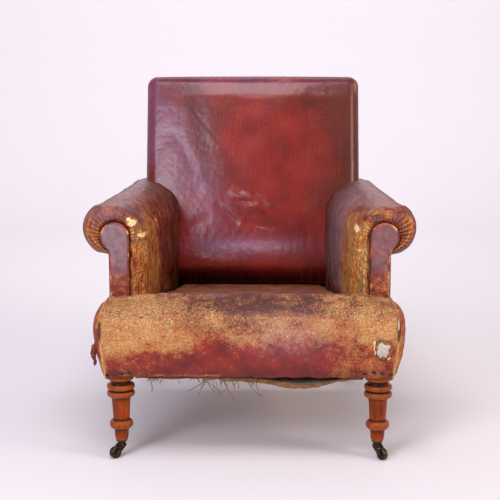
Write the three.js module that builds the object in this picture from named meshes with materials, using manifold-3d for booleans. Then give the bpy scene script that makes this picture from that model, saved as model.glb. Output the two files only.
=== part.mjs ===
// A worn leather club chair of the late nineteenth century: a beech frame on turned front legs
// and raked back legs, four small castors, a sprung seat, scroll arms and a reclined back.
// Millimetres, +Z up. The chair faces -Y, and the origin is on the floor in the middle of its box.
import * as THREE from "three";
import { mergeVertices } from "three/addons/utils/BufferGeometryUtils.js";
import Module from "manifold-3d";

const wasm = await Module();
wasm.setup();

// Driving dimensions of the chair.
const GAP = 0.3; // between pieces that touch
const LEATHER = 3; // the hide with its calico and wadding
const CASTOR_HEIGHT = 40;
const RAIL = { bottom: 197, top: 269, thickness: 28 };
const SKIRT_BOTTOM = 190; // lower edge of the outside panels
const FRONT_LEG = { x: 288, y: -367, half: 30, bottom: 188 };
const BACK_LEG = { inner: 254, outer: 286, footFront: 264, footRear: 298 };
const BACK_FOOT = { y: 237, z: 232 }; // where the back's own frame starts
const BACK_RECLINE = 15; // degrees
const BACK = { halfWidth: 293, front: -70, rear: 20, bottom: 46, top: 621, corner: 20 };
const ARM = { front: -318.5, reference: 255, bottom: 257, crest: 564, underside: 454 };
const ARM_FRAME = { inner: 283, outer: 313, railBottom: 493, railTop: 517, back: 29 };
const FACING = { front: -332, thickness: 12, headX: 301, headZ: 496, radius: 33 };
const NOSE_BACK = -332.6; // the front roll of the seat ends just before the facings
const SEAM_X = 316; // the corner seam of the front edge
const DECK = { front: -333, back: 179, frontZ: 368, backZ: 291, pad: 38, sag: 7 };
const BACK_CASTOR = { x: 270, y: 281 };
const CENTRE = 3.9; // brings the middle of the chair's depth onto the origin

// Materials, one for each kind of thing that the chair is made of.
const material = (color, roughness, metalness = 0) =>
  new THREE.MeshStandardMaterial({ color, roughness, metalness });
const hide = material(0x6b2a22, 0.42);
const wornHide = material(0x96643a, 0.55);
const walnut = material(0x8a4a1e, 0.35);
const beech = material(0xb08a5a, 0.7);
const jute = material(0x9c7a4c, 0.95);
const horsehair = material(0x5a4632, 0.95);
const springSteel = material(0x8c8178, 0.4, 0.9);
const bronze = material(0x3f3832, 0.45, 0.85);

// ---- Geometry helpers --------------------------------------------------------------------

const lerp = THREE.MathUtils.lerp;

// A closed geometry as a manifold-3d solid, whichever way its faces were wound.
function solid(geometry) {
  const bare = geometry.index ? geometry.toNonIndexed() : geometry.clone();
  bare.deleteAttribute("normal");
  bare.deleteAttribute("uv");
  const merged = mergeVertices(bare, 1e-3);
  const vertProperties = merged.attributes.position.array;
  const triVerts = new Uint32Array(merged.index.array);
  const made = new wasm.Manifold(new wasm.Mesh({ numProp: 3, vertProperties, triVerts }));
  if (made.volume() > 0) return made;
  for (let i = 0; i < triVerts.length; i += 3) {
    [triVerts[i], triVerts[i + 1]] = [triVerts[i + 1], triVerts[i]];
  }
  return new wasm.Manifold(new wasm.Mesh({ numProp: 3, vertProperties, triVerts }));
}

// A manifold-3d solid as a three.js geometry.
function geometryOf(made) {
  const mesh = made.getMesh();
  const geometry = new THREE.BufferGeometry();
  geometry.setAttribute("position", new THREE.BufferAttribute(mesh.vertProperties, 3));
  geometry.setIndex(new THREE.BufferAttribute(mesh.triVerts, 1));
  geometry.computeVertexNormals();
  return geometry;
}

// The first geometry joined with the others, and the first one with the others cut away.
const join = (first, ...others) =>
  geometryOf(others.reduce((made, other) => made.add(solid(other)), solid(first)));
const cut = (first, ...others) =>
  geometryOf(others.reduce((made, other) => made.subtract(solid(other)), solid(first)));

// A box between two corners.
function box(x0, x1, y0, y1, z0, z1) {
  const geometry = new THREE.BoxGeometry(x1 - x0, y1 - y0, z1 - z0);
  return geometry.translate((x0 + x1) / 2, (y0 + y1) / 2, (z0 + z1) / 2);
}

// Closed loops with the same number of points, skinned one to the next and capped at the ends.
function loft(loops) {
  const count = loops[0].length;
  const faces = [];
  for (let ring = 0; ring + 1 < loops.length; ring++) {
    for (let i = 0; i < count; i++) {
      const a = ring * count + i;
      const b = ring * count + ((i + 1) % count);
      faces.push(a, b, b + count, a, b + count, a + count);
    }
  }
  const last = loops.length - 1;
  for (const [ring, reversed] of [[0, true], [last, false]]) {
    const outline = flatten(loops[ring]);
    const turnsLeft = THREE.ShapeUtils.area(outline) > 0;
    for (const triangle of THREE.ShapeUtils.triangulateShape(outline, [])) {
      const corners = triangle.map((i) => outline[i]);
      if (THREE.ShapeUtils.area(corners) > 0 !== turnsLeft) triangle.reverse();
      if (reversed) triangle.reverse();
      faces.push(...triangle.map((i) => ring * count + i));
    }
  }
  const points = loops.flat();
  let volume = 0;
  for (let i = 0; i < faces.length; i += 3) {
    const [a, b, c] = [points[faces[i]], points[faces[i + 1]], points[faces[i + 2]]];
    volume += a.dot(new THREE.Vector3().crossVectors(b, c));
  }
  if (volume < 0) faces.reverse();
  const geometry = new THREE.BufferGeometry();
  const positions = points.flatMap((p) => [p.x, p.y, p.z]);
  geometry.setAttribute("position", new THREE.Float32BufferAttribute(positions, 3));
  geometry.setIndex(faces);
  geometry.computeVertexNormals();
  return geometry;
}

// A flat loop in space seen along the axis that it faces most.
function flatten(loop) {
  const normal = new THREE.Vector3();
  loop.forEach((p, i) => {
    const q = loop[(i + 1) % loop.length];
    normal.add(new THREE.Vector3().crossVectors(p, q));
  });
  const size = normal.toArray().map(Math.abs);
  const axis = size.indexOf(Math.max(...size));
  const [u, v] = [["y", "z"], ["x", "z"], ["x", "y"]][axis];
  return loop.map((p) => new THREE.Vector2(p[u], p[v]));
}

// A flat outline in Y and Z, extruded between two values of X.
function sidePlate(outline, x0, x1) {
  return loft([x0, x1].map((x) => outline.map(([y, z]) => new THREE.Vector3(x, y, z))));
}

// A flat outline in X and Z, extruded between two values of Y.
function frontPlate(outline, y0, y1) {
  return loft([y0, y1].map((y) => outline.map(([x, z]) => new THREE.Vector3(x, y, z))));
}

// A flat outline in X and Y, extruded between two heights.
function floorPlate(outline, z0, z1) {
  return loft([z0, z1].map((z) => outline.map(([x, y]) => new THREE.Vector3(x, y, z))));
}

// A turning about the Z axis from [radius, height] pairs.
function turned(profile, segments) {
  const points = profile.map(([radius, height]) => new THREE.Vector2(radius, height));
  return new THREE.LatheGeometry(points, segments).rotateX(Math.PI / 2);
}

// A rectangle's outline with round corners, between two corners of its plane.
function roundedLoop(x0, x1, y0, y1, radius, steps = 4) {
  const centres = [
    [x1 - radius, y0 + radius, -90],
    [x1 - radius, y1 - radius, 0],
    [x0 + radius, y1 - radius, 90],
    [x0 + radius, y0 + radius, 180],
  ];
  return centres.flatMap(([x, y, start]) =>
    Array.from({ length: steps + 1 }, (_, i) => {
      const angle = THREE.MathUtils.degToRad(start + (90 * i) / steps);
      return [x + radius * Math.cos(angle), y + radius * Math.sin(angle)];
    }),
  );
}

// An open path of [u, v] points moved sideways, to its left for a positive distance.
function offsetPath(path, distance) {
  return path.map(([u, v], i) => {
    const before = path[Math.max(i - 1, 0)];
    const after = path[Math.min(i + 1, path.length - 1)];
    const into = new THREE.Vector2(u - before[0], v - before[1]).normalize();
    const out = new THREE.Vector2(after[0] - u, after[1] - v).normalize();
    const along = into.clone().add(out).normalize();
    const stretch = Math.max(Math.abs(along.dot(out.length() > 0 ? out : into)), 0.5);
    return [u - (along.y * distance) / stretch, v + (along.x * distance) / stretch];
  });
}

// ---- Scene graph -------------------------------------------------------------------------

const chair = new THREE.Group();
chair.position.y = CENTRE; // every other number below is measured before this move

// Adds one named piece to a group.
function piece(name, geometry, look, parent = chair) {
  const mesh = new THREE.Mesh(geometry, look);
  mesh.name = name;
  parent.add(mesh);
  return mesh;
}

const SIDES = [["left", -1], ["right", 1]];
const mirrored = (outline, side) => outline.map(([x, other]) => [x * side, other]);

// The back's own frame: y across its thickness to the rear, z up the reclined back.
const recline = THREE.MathUtils.degToRad(BACK_RECLINE);
const back = new THREE.Group();
back.position.set(0, BACK_FOOT.y, BACK_FOOT.z);
back.rotation.x = -recline;
back.updateMatrix();
chair.add(back);
const fromBack = (y, z) => [
  BACK_FOOT.y + y * Math.cos(recline) + z * Math.sin(recline),
  BACK_FOOT.z - y * Math.sin(recline) + z * Math.cos(recline),
];
const inBack = (geometry) => geometry.applyMatrix4(back.matrix);
const toBack = (geometry) => geometry.applyMatrix4(back.matrix.clone().invert());

// ---- Castors -----------------------------------------------------------------------------

// One swivelling castor below a leg: a fixed plate with its pintle, a horn, a wheel and an axle.
function castor(corner, x, y, angle) {
  const trail = 18;
  const hub = 13;
  const group = new THREE.Group();
  group.position.set(x, y, 0);
  group.rotation.z = THREE.MathUtils.degToRad(angle);
  chair.add(group);
  const plate = [[0, 25], [5.4, 25], [5.4, 28.5], [3.5, 28.5], [3.5, 37.5], [12.6, 37.5]];
  plate.push([13, 38], [13, 40], [0, 40]);
  piece(`castor_plate_${corner}`, turned(plate, 16), bronze, group);
  const boss = [[6, 24], [9, 24], [9, 36], [4, 36], [4, 29], [6, 29], [6, 24]];
  const capsule = [[-6, 27], [-5.2, 32], [0, 35], [5.2, 32], [22.6, 15.4], [23, 12.2], [20.6, 8.8]];
  capsule.push([17, 8.1], [13.6, 10.6], [-4, 24.5]);
  const pin = new THREE.CylinderGeometry(2.85, 2.85, 40, 12).translate(trail, 0, hub);
  const core = turned([[0, 20], [6, 20], [6, 29], [4, 29], [4, 40], [0, 40]], 16);
  const cheek = (y0) => frontPlate(capsule, y0, y0 + 2.5);
  const horn = join(turned(boss, 16), cheek(-9.3), cheek(6.8));
  piece(`castor_horn_${corner}`, cut(horn, pin, core), bronze, group);
  const rim = hub / Math.cos(Math.PI / 24); // a flat of the tread lies on the floor
  const tread = [[3, -6], [12.2, -6], [rim, -5], [rim, 5], [12.2, 6], [3, 6], [3, -6]];
  const wheel = turned(tread, 24).rotateX(Math.PI / 2).rotateY(Math.PI / 24);
  piece(`castor_wheel_${corner}`, wheel, bronze, group).position.set(trail, 0, hub);
  const axle = [[0, -11], [3.4, -11], [4, -10.4], [4, -9.6], [2.5, -9.6], [2.5, 9.6]];
  axle.push([4, 9.6], [4, 10.4], [3.4, 11], [0, 11]);
  const rod = turned(axle, 12).rotateX(Math.PI / 2);
  piece(`castor_axle_${corner}`, rod, bronze, group).position.set(trail, 0, hub);
}

castor("front_left", -FRONT_LEG.x, FRONT_LEG.y, 222);
castor("front_right", FRONT_LEG.x, FRONT_LEG.y, -55);
castor("back_left", -BACK_CASTOR.x, BACK_CASTOR.y, 70);
castor("back_right", BACK_CASTOR.x, BACK_CASTOR.y, 110);

// ---- Frame -------------------------------------------------------------------------------

// The front leg's turning from its foot to the square block, as [radius, height] pairs.
const legProfile = [
  [0, 40.3], [12, 40.3], [15.3, 46], [16.3, 66], [23.5, 70], [26.6, 78], [23.5, 86],
  [18.5, 90], [18.6, 94], [21, 136], [22.5, 141], [29, 143], [31.8, 149], [29, 155.5],
  [26.6, 157], [29, 158.5], [31.8, 165], [29, 170.5], [22.5, 172.5], [22.5, 178],
  [29.5, 183], [29.8, FRONT_LEG.bottom + 1], [0, FRONT_LEG.bottom + 1],
];
for (const [name, side] of SIDES) {
  const { x, y, half, bottom } = FRONT_LEG;
  const turning = turned(legProfile, 24).translate(side * x, y, 0);
  const block = box(side * x - half, side * x + half, y - half, y + half, bottom, RAIL.top);
  piece(`front_leg_${name}`, join(turning, block), walnut);
}

// Each back leg rakes backwards below the seat and carries on upwards as the back's upright.
const legOutline = (front, rear) => [
  [BACK_LEG.footFront + front, CASTOR_HEIGHT + GAP],
  [BACK_LEG.footRear + rear, CASTOR_HEIGHT + GAP],
  fromBack(20 + rear, -44),
  fromBack(20 + rear, 606),
  fromBack(-20 + front, 606),
  fromBack(-20 + front, -32),
];
const legCutter = sidePlate(legOutline(-GAP, GAP), -400, 400);
for (const [name, side] of SIDES) {
  const [near, far] = [side * BACK_LEG.inner, side * BACK_LEG.outer].sort((a, b) => a - b);
  piece(`back_leg_${name}`, sidePlate(legOutline(0, 0), near, far), walnut);
}

// The rails of the seat.
const { bottom: railLow, top: railHigh, thickness } = RAIL;
const blockInner = FRONT_LEG.x - FRONT_LEG.half - GAP;
const blockRear = FRONT_LEG.y + FRONT_LEG.half + GAP;
piece("front_rail", box(-blockInner, blockInner, -396, -368, railLow, railHigh), beech);
const railInner = BACK_LEG.inner - GAP;
piece("back_rail", box(-railInner, railInner, -16, 16, -31, 38), beech, back);
piece("lower_back_rail", box(-railInner, railInner, -14, 14, 66, 108), beech, back);
piece("top_back_rail", box(-railInner, railInner, -14, 14, 560, 606), beech, back);
for (const [name, side] of SIDES) {
  const tail = [[258, 240], [286, 240]];
  const outline = [[286, blockRear], [314, blockRear], tail[1], tail[0]];
  const rail = floorPlate(mirrored(outline, side), railLow, railHigh);
  piece(`side_rail_${name}`, cut(rail, legCutter), beech);
}

// The arms stand on a post at the front and run back to the uprights.
const armRail = (side, grow, front) => {
  const { inner, outer, railBottom, railTop, back: step } = ARM_FRAME;
  const outline = [
    [inner - grow, front],
    [outer + grow, front],
    [outer - step + grow, 312],
    [inner - step - grow, 312],
  ];
  return floorPlate(mirrored(outline, side), railBottom - grow, railTop + grow);
};
for (const [name, side] of SIDES) {
  const [near, far] = [side * ARM_FRAME.inner, side * ARM_FRAME.outer].sort((a, b) => a - b);
  const post = box(near, far, -311, -281, railHigh + GAP, ARM_FRAME.railTop);
  piece(`arm_post_${name}`, post, beech);
  piece(`arm_rail_${name}`, cut(armRail(side, 0, -280.7), legCutter), beech);
}

// ---- Springing ---------------------------------------------------------------------------

// Strips of jute woven across the frame, as one lattice in a plane, between two heights.
function lattice(columns, rows, halfWidth, y0, y1, z0, z1) {
  const strips = [
    ...columns.map((x) => box(x - 25, x + 25, y0, y1, z0, z1)),
    ...rows.map((y) => box(-halfWidth, halfWidth, y - 25, y + 25, z0, z1)),
  ];
  return join(...strips);
}
const seatRows = [-290, -180, -70, 40, 150];
const seatWebbing = lattice([-165, -55, 55, 165], seatRows, 276, -392, 232, 193.4, 196.7);
piece("seat_webbing", seatWebbing, jute);
const backRows = [145, 225, 335, 455];
const backWebbing = lattice([-140, 0, 140], backRows, 284, 68, 604, 20.3, 23.3);
piece("back_webbing", backWebbing.rotateX(Math.PI / 2), jute, back);

// A waisted coil spring: wide at both ends and narrow in the middle.
class WaistedHelix extends THREE.Curve {
  constructor(height, radius, waist, turns) {
    super();
    Object.assign(this, { height, radius, waist, turns });
  }
  getPoint(t, target = new THREE.Vector3()) {
    const radius = lerp(this.waist, this.radius, (2 * t - 1) ** 2);
    const angle = t * this.turns * 2 * Math.PI;
    return target.set(radius * Math.cos(angle), radius * Math.sin(angle), t * this.height);
  }
}
const wire = new THREE.Shape(
  [0, 1, 2, 3, 4].map((i) => {
    const angle = (i * 2 * Math.PI) / 5;
    return new THREE.Vector2(1.9 * Math.cos(angle), 1.9 * Math.sin(angle));
  }),
);
const alongDeck = (y) => (y - DECK.front) / (DECK.back - DECK.front);
const deckChord = (y) => lerp(DECK.frontZ, DECK.backZ, alongDeck(y));
const deckTop = (y) => deckChord(y) - DECK.sag * Math.sin(Math.PI * alongDeck(y));
const hessianTop = (y) => deckChord(y) - DECK.pad - DECK.sag - 0.6;
const springFoot = RAIL.bottom + GAP + 2;
const springRows = [["front", -240], ["middle", -60], ["rear", 115]];
const springColumns = [["left", -140], ["centre", 0], ["right", 140]];
for (const [row, y] of springRows) {
  for (const [column, x] of springColumns) {
    const room = hessianTop(y + 40) - 4.5 - springFoot;
    const turns = room > 60 ? 4 : 3;
    const path = new WaistedHelix(room, 38, 24, turns);
    const steps = turns * 8;
    const coil = new THREE.ExtrudeGeometry(wire, {
      steps,
      extrudePath: path,
      bevelEnabled: false,
    });
    piece(`seat_spring_${row}_${column}`, coil, springSteel).position.set(x, y, springFoot);
  }
}

// ---- Seat --------------------------------------------------------------------------------

// The rounded front edge as level outlines: height, half width, front and corner radius.
const noseLevels = [
  [197, 322, -404, 10],
  [222, 329, -414, 20],
  [257, 337, -424, 26],
  [297, 341.5, -428, 30],
  [325, 341, -425.5, 32],
  [345, 333, -416, 34],
  [358, 316, -401, 36],
  [365, 291, -384, 34],
  [368, 240, -366, 20],
];
function nose(shrink, lowest, rearmost) {
  const [[foot, ...footShape]] = noseLevels;
  const levels = lowest < foot ? [[lowest, ...footShape], ...noseLevels] : noseLevels;
  const loops = levels.map(([z, half, front, corner]) => {
    const height = z - shrink * Math.max((z - foot) / (368 - foot), 0) ** 2;
    const radius = Math.max(corner - shrink, 6);
    const [w, f] = [half - shrink, front + shrink];
    const arcs = roundedLoop(-w, w, f, f + 3 * radius, radius);
    const outline = [...arcs.slice(0, 5), [w, rearmost], [-w, rearmost], ...arcs.slice(15)];
    return outline.map(([x, y]) => new THREE.Vector3(x, y, height));
  });
  return loft(loops);
}

// The deck between the arms, as sections from the front edge to the inside back.
function deck(shrink, drop, front, rear) {
  const loops = [0, 0.25, 0.5, 0.75, 1].map((t) => {
    const y = lerp(front, rear, t);
    const half = armInner(y) - 0.8 - shrink;
    const top = deckTop(Math.min(y, DECK.back)) - shrink;
    const bottom = top + shrink - drop;
    const outline = [
      [-half, bottom],
      [half, bottom],
      [half, top - 10],
      [half - 4, top - 3],
      [half - 12, top],
      [12 - half, top],
      [4 - half, top - 3],
      [-half, top - 10],
    ];
    return outline.map(([x, z]) => new THREE.Vector3(x, y, z));
  });
  return loft(loops);
}

// How far along an arm a value of Y is: 0 at its front and 1 where it meets the inside back.
function alongArm(y) {
  return Math.min((y - ARM.front) / (ARM.reference - ARM.front), 1);
}

// How far the inner face of an arm stands from the chair's middle.
function armInner(y) {
  return lerp(232, 195, alongArm(y));
}

// The front edge and the deck as one body, shrunk inwards by a thickness of leather.
function seatBody(shrink, lowest, noseRear, drop, deckRear) {
  const padding = deck(shrink, drop, DECK.front - 4, deckRear);
  return join(nose(shrink, lowest, noseRear), padding);
}
const frameRoom = box(-320, 320, -397.4, -300, 100, railHigh + GAP);
const seatStuffing = seatBody(LEATHER + GAP, RAIL.bottom, NOSE_BACK, DECK.pad, DECK.back);
piece("seat_stuffing", cut(seatStuffing, frameRoom), horsehair);

const seatSkin = seatBody(0, RAIL.bottom, NOSE_BACK, 12, DECK.back + GAP);
const seatInside = seatBody(LEATHER, 100, NOSE_BACK + 2, 120, DECK.back + 5);
const seatLeather = cut(seatSkin, seatInside);
const beyondSeam = (side, reach) =>
  side > 0 ? box(reach, 400, -500, 400, 0, 600) : box(-400, -reach, -500, 400, 0, 600);
const seatCover = cut(seatLeather, beyondSeam(1, SEAM_X), beyondSeam(-1, SEAM_X));
piece("seat_cover", seatCover, wornHide);
for (const [name, side] of SIDES) {
  const middle = [side * (SEAM_X + GAP), side * -400].sort((a, b) => a - b);
  const inwards = box(...middle, -500, 400, 0, 600);
  piece(`seat_border_${name}`, cut(seatLeather, inwards), hide);
}

// The hessian that lies over the springs below the deck's pad.
const hessianLoops = [-328, DECK.back - 4].map((y) => {
  const half = armInner(y) - 6;
  const z = hessianTop(y);
  return [[-half, z - 2], [half, z - 2], [half, z], [-half, z]].map(
    ([x, height]) => new THREE.Vector3(x, y, height),
  );
});
piece("spring_hessian", loft(hessianLoops), jute);

// The lining that closes the bottom of the seat hangs in a shallow belly below the rails.
const liningOutline = [
  [-256, -392], [256, -392], [256, -334], [302, -334], [276, 200], [252, 205], [252, 232],
  [-252, 232], [-252, 205], [-276, 200], [-302, -334], [-256, -334],
];
const belly = [[193.1, 1], [190.6, 1], [178, 0.86], [170, 0.6]];
const bellyLoops = belly.map(([z, scale]) =>
  liningOutline.map(([x, y]) => new THREE.Vector3(x * scale, (y + 80) * scale - 80, z)),
);
const hollow = belly.map(([z, scale], i) =>
  liningOutline.map(([x, y]) =>
    new THREE.Vector3(x * scale * 0.99, (y + 80) * scale * 0.99 - 80, i ? z + 2.4 : 200),
  ),
);
piece("bottom_lining", cut(loft(bellyLoops), loft(hollow)), jute);

// ---- Back --------------------------------------------------------------------------------

// The inside back as outlines in its own frame: how far in each one stands, at depth y.
const backRounding = [[0, 22], [4, 12], [12, 5], [25, 0]];
function backBody(shrink, rear, lowest = BACK.bottom + shrink) {
  const rings = backRounding.map(([depth, inset]) => [BACK.front + shrink + depth, inset]);
  rings.push([rear, 0]);
  const loops = rings.map(([y, inset]) => {
    const half = BACK.halfWidth - shrink - inset;
    const top = BACK.top - shrink - inset;
    const low = lowest + inset * 0.5;
    const outline = roundedLoop(-half, half, low, top, BACK.corner - shrink, 4);
    return outline.map(([x, z]) => new THREE.Vector3(x, y, z));
  });
  return loft(loops);
}
const armRailHoles = SIDES.map(([, side]) => toBack(armRail(side, GAP, -280.7)));
const backStuffing = cut(backBody(LEATHER + GAP, -23.8), ...armRailHoles);
piece("back_stuffing", backStuffing, horsehair, back);
const uprightRoom = box(-289.9, 289.9, -23.6, 60, -40, 80);
const backCover = cut(backBody(0, BACK.rear), backBody(LEATHER, 60), uprightRoom, ...armRailHoles);
piece("inside_back_cover", backCover, hide, back);
const outsideBack = roundedLoop(-293, 293, -38, BACK.top, BACK.corner, 4);
piece("outside_back_panel", frontPlate(outsideBack, 20.3, 23.3), hide, back);

// ---- Arms --------------------------------------------------------------------------------

// The arm's skin from the foot of its inner face, over the crest and round the roll, at one Y.
function armPath(y) {
  const t = alongArm(y);
  const inner = armInner(y);
  const radius = lerp(54, 43, t);
  const rollX = lerp(317, 296, t);
  const rollZ = ARM.crest - radius;
  const crestX = lerp(300, 288, t);
  const shoulder = lerp(470, 480, t);
  const path = [[inner, ARM.bottom], [inner, shoulder]];
  for (const angle of [18, 36, 54, 72, 90]) {
    const a = THREE.MathUtils.degToRad(angle);
    const across = crestX - (crestX - inner) * Math.cos(a);
    path.push([across, shoulder + (ARM.crest - shoulder) * Math.sin(a)]);
  }
  for (const angle of [90, 67.5, 45, 22.5, 0, -22.5, -45, -67.5, -90]) {
    const a = THREE.MathUtils.degToRad(angle);
    path.push([rollX + radius * Math.cos(a), rollZ + radius * Math.sin(a)]);
  }
  return path;
}

const armStations = [ARM.front + LEATHER + GAP, -240, -120, 0, 120, 255, 370];
const rearCut = (depth) => inBack(box(-450, 450, depth, 250, -250, 900));
const backRoom = (grow) =>
  inBack(box(-BACK.halfWidth - grow, BACK.halfWidth + grow, BACK.front - grow, 60, -250, 900));

for (const [name, side] of SIDES) {
  const at = (outline, y) => outline.map(([x, z]) => new THREE.Vector3(side * x, y, z));
  const stuffingLoops = armStations.map((y) => {
    const skin = offsetPath(armPath(y), -(LEATHER + GAP));
    skin[0][1] = ARM.bottom;
    const postX = lerp(315.5, 293.8, alongArm(y));
    const railX = lerp(281, 252, alongArm(y));
    skin.push([postX, skin[15][1]], [postX, 519], [railX, 519], [railX, ARM.bottom]);
    return at(skin, y);
  });
  const stuffing = cut(loft(stuffingLoops), rearCut(20), backRoom(2.2));
  piece(`arm_stuffing_${name}`, stuffing, horsehair);

  const coverLoops = [ARM.front, ...armStations].map((y) => at(armBand(y), y));
  const front = armPath(ARM.front);
  front.push([314, ARM.underside + 2], [314, railHigh + GAP]);
  front.push([283, railHigh + GAP], [283, ARM.bottom]);
  const closing = loft([at(front, ARM.front), at(front, ARM.front + LEATHER)]);
  const cover = join(closing, loft(coverLoops));
  piece(`inside_arm_cover_${name}`, cut(cover, rearCut(20), backRoom(0.3)), wornHide);

  const panelLoops = [ARM.front + LEATHER + GAP, 190, 360].map((y, i) => {
    const near = i === 0 ? 315 : 293.6;
    const top = armPath(y)[15][1] - 1.5;
    const corners = [[near, SKIRT_BOTTOM], [near + LEATHER, SKIRT_BOTTOM]];
    return at([...corners, [near + LEATHER, top], [near, top]], y);
  });
  piece(`outside_arm_panel_${name}`, cut(loft(panelLoops), rearCut(BACK.rear)), hide);
}

// The closed band of an arm's leather at one Y, from its skin to its lining.
function armBand(y) {
  const skin = armPath(y);
  const lining = offsetPath(skin, -LEATHER);
  lining[0][1] = ARM.bottom;
  return [...skin, ...lining.reverse()];
}

// The scrolled facing on the front of each arm: a straight stem under a round head.
for (const [name, side] of SIDES) {
  const outline = [[311, railHigh + 3], [271, railHigh + 3], [268, FACING.headZ]];
  for (let angle = 165; angle >= -60; angle -= 15) {
    const a = THREE.MathUtils.degToRad(angle);
    outline.push([
      FACING.headX + FACING.radius * Math.cos(a),
      FACING.headZ + FACING.radius * Math.sin(a),
    ]);
  }
  outline.push([315, 464]);
  const board = frontPlate(mirrored(outline, side), FACING.front, FACING.front + FACING.thickness);
  piece(`arm_facing_${name}`, board, hide);
}

export default chair;
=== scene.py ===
"""A worn leather club chair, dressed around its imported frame.

Every size below is in millimetres in the chair's own frame, +Z up and the front towards -Y, and
becomes metres where a mesh is written.
"""

import logging
import math
from collections.abc import Callable, Sequence
from dataclasses import dataclass, field
from enum import Enum

import bmesh
import bpy
import numpy as np
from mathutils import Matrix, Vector


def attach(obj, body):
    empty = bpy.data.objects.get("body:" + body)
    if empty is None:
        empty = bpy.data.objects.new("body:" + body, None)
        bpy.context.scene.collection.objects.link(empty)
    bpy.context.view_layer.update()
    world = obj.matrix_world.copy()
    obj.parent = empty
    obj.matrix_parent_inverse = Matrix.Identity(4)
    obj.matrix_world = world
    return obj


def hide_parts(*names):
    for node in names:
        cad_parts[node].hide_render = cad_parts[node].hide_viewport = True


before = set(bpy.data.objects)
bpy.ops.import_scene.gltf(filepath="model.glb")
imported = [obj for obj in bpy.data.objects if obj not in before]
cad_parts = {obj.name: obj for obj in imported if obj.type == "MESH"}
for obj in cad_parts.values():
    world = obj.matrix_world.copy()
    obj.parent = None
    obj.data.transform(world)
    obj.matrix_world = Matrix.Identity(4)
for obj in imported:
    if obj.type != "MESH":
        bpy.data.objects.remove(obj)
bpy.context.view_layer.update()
log = logging.getLogger("chair")

MM = 0.001
CENTRE = 3.9  # the chair's middle stands this far behind the zero of its depth sizes
CHAIR = "chair"  # the body that everything but the castors belongs to
Number = float | np.ndarray
MARKS = ("rub", "grime", "bare", "crack", "bloom", "film")  # marks of wear and dirt, which also paint shade, sheen and highlights, each from 0 to 1


class Side(Enum):
    """The two sides of the chair, as someone facing it sees them."""

    LEFT = -1
    RIGHT = 1

    @property
    def tag(self) -> str:
        """The side's word in the names of nodes."""
        return self.name.lower()


# ---- Numbers ------------------------------------------------------------------------------


def smoothstep(low: Number, high: Number, value: Number) -> Number:
    """Rises smoothly from 0 at low to 1 at high."""
    t = np.clip((value - low) / (high - low), 0.0, 1.0)
    return t * t * (3.0 - 2.0 * t)


def hump(value: Number, centre: Number, width: float) -> Number:
    """A bell curve of height 1."""
    return np.exp(-(((value - centre) / width) ** 2))


def lerp(a: Number, b: Number, t: Number) -> Number:
    """The value a fraction t of the way from a to b."""
    return a + (b - a) * t


def on_plane(across: Number, up: Number) -> np.ndarray:
    """Points with two coordinates of their own, and 0 for the third."""
    return np.stack(np.broadcast_arrays(across, up, 0.0), axis=-1)


def noise(points: np.ndarray, size: float, seed: int) -> np.ndarray:
    """Smooth random values from -1 to 1.

    Args:
        points: where to read it, with x, y and z in the last axis.
        size: the distance between its random values.
        seed: picks one of many such patterns.

    Returns:
        One value for each point.
    """
    scaled = points / size + 1000.0
    base = np.floor(scaled)
    part = scaled - base
    ease = part * part * (3.0 - 2.0 * part)
    corner = base.astype(np.uint64)
    mask = np.uint64(0xFFFFFFFF)
    total = np.zeros(points.shape[:-1])
    for dx in (0, 1):
        for dy in (0, 1):
            for dz in (0, 1):
                mixed = (
                    (corner[..., 0] + np.uint64(dx)) * np.uint64(374761393)
                    + (corner[..., 1] + np.uint64(dy)) * np.uint64(668265263)
                    + (corner[..., 2] + np.uint64(dz)) * np.uint64(2246822519)
                    + np.uint64(seed * 3266489917)
                ) & mask
                mixed = ((mixed ^ (mixed >> np.uint64(13))) * np.uint64(1274126177)) & mask
                mixed = mixed ^ (mixed >> np.uint64(16))
                weight = (
                    (ease[..., 0] if dx else 1 - ease[..., 0])
                    * (ease[..., 1] if dy else 1 - ease[..., 1])
                    * (ease[..., 2] if dz else 1 - ease[..., 2])
                )
                total += weight * (mixed.astype(np.float64) / 2147483647.5 - 1.0)
    return total


def cloud(points: np.ndarray, size: float, seed: int, octaves: int = 3) -> np.ndarray:
    """Noise with finer noise laid over it, from about -1 to 1."""
    total, weight, norm = 0.0, 1.0, 0.0
    for i in range(octaves):
        total = total + weight * noise(points, size / 2**i, seed + 17 * i)
        norm += weight
        weight *= 0.55
    return total / norm


def folds(points: np.ndarray, size: float, seed: int) -> np.ndarray:
    """Sharp-bottomed wrinkles, from 0 in a fold to 1 on the smooth leather between."""
    return np.clip(np.abs(cloud(points, size, seed, 2)) * 3.2, 0.0, 1.0)


def stroke(points: np.ndarray, a: Sequence[float], b: Sequence[float], width: float) -> np.ndarray:
    """A soft straight line from a to b, 1 along its middle and 0 away from it.

    Args:
        points: where to read it, with two coordinates in the last axis.
        a: the line's start.
        b: the line's end.
        width: how wide its fall is.

    Returns:
        One value for each point.
    """
    start, run = np.asarray(a, float), np.subtract(b, a).astype(float)
    t = np.clip(((points - start) @ run) / (run @ run), 0.0, 1.0)
    away = np.linalg.norm(points - (start + t[..., None] * run), axis=-1)
    return np.exp(-((away / width) ** 2)) * np.sqrt(np.clip(4 * t * (1 - t), 0, 1))


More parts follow.
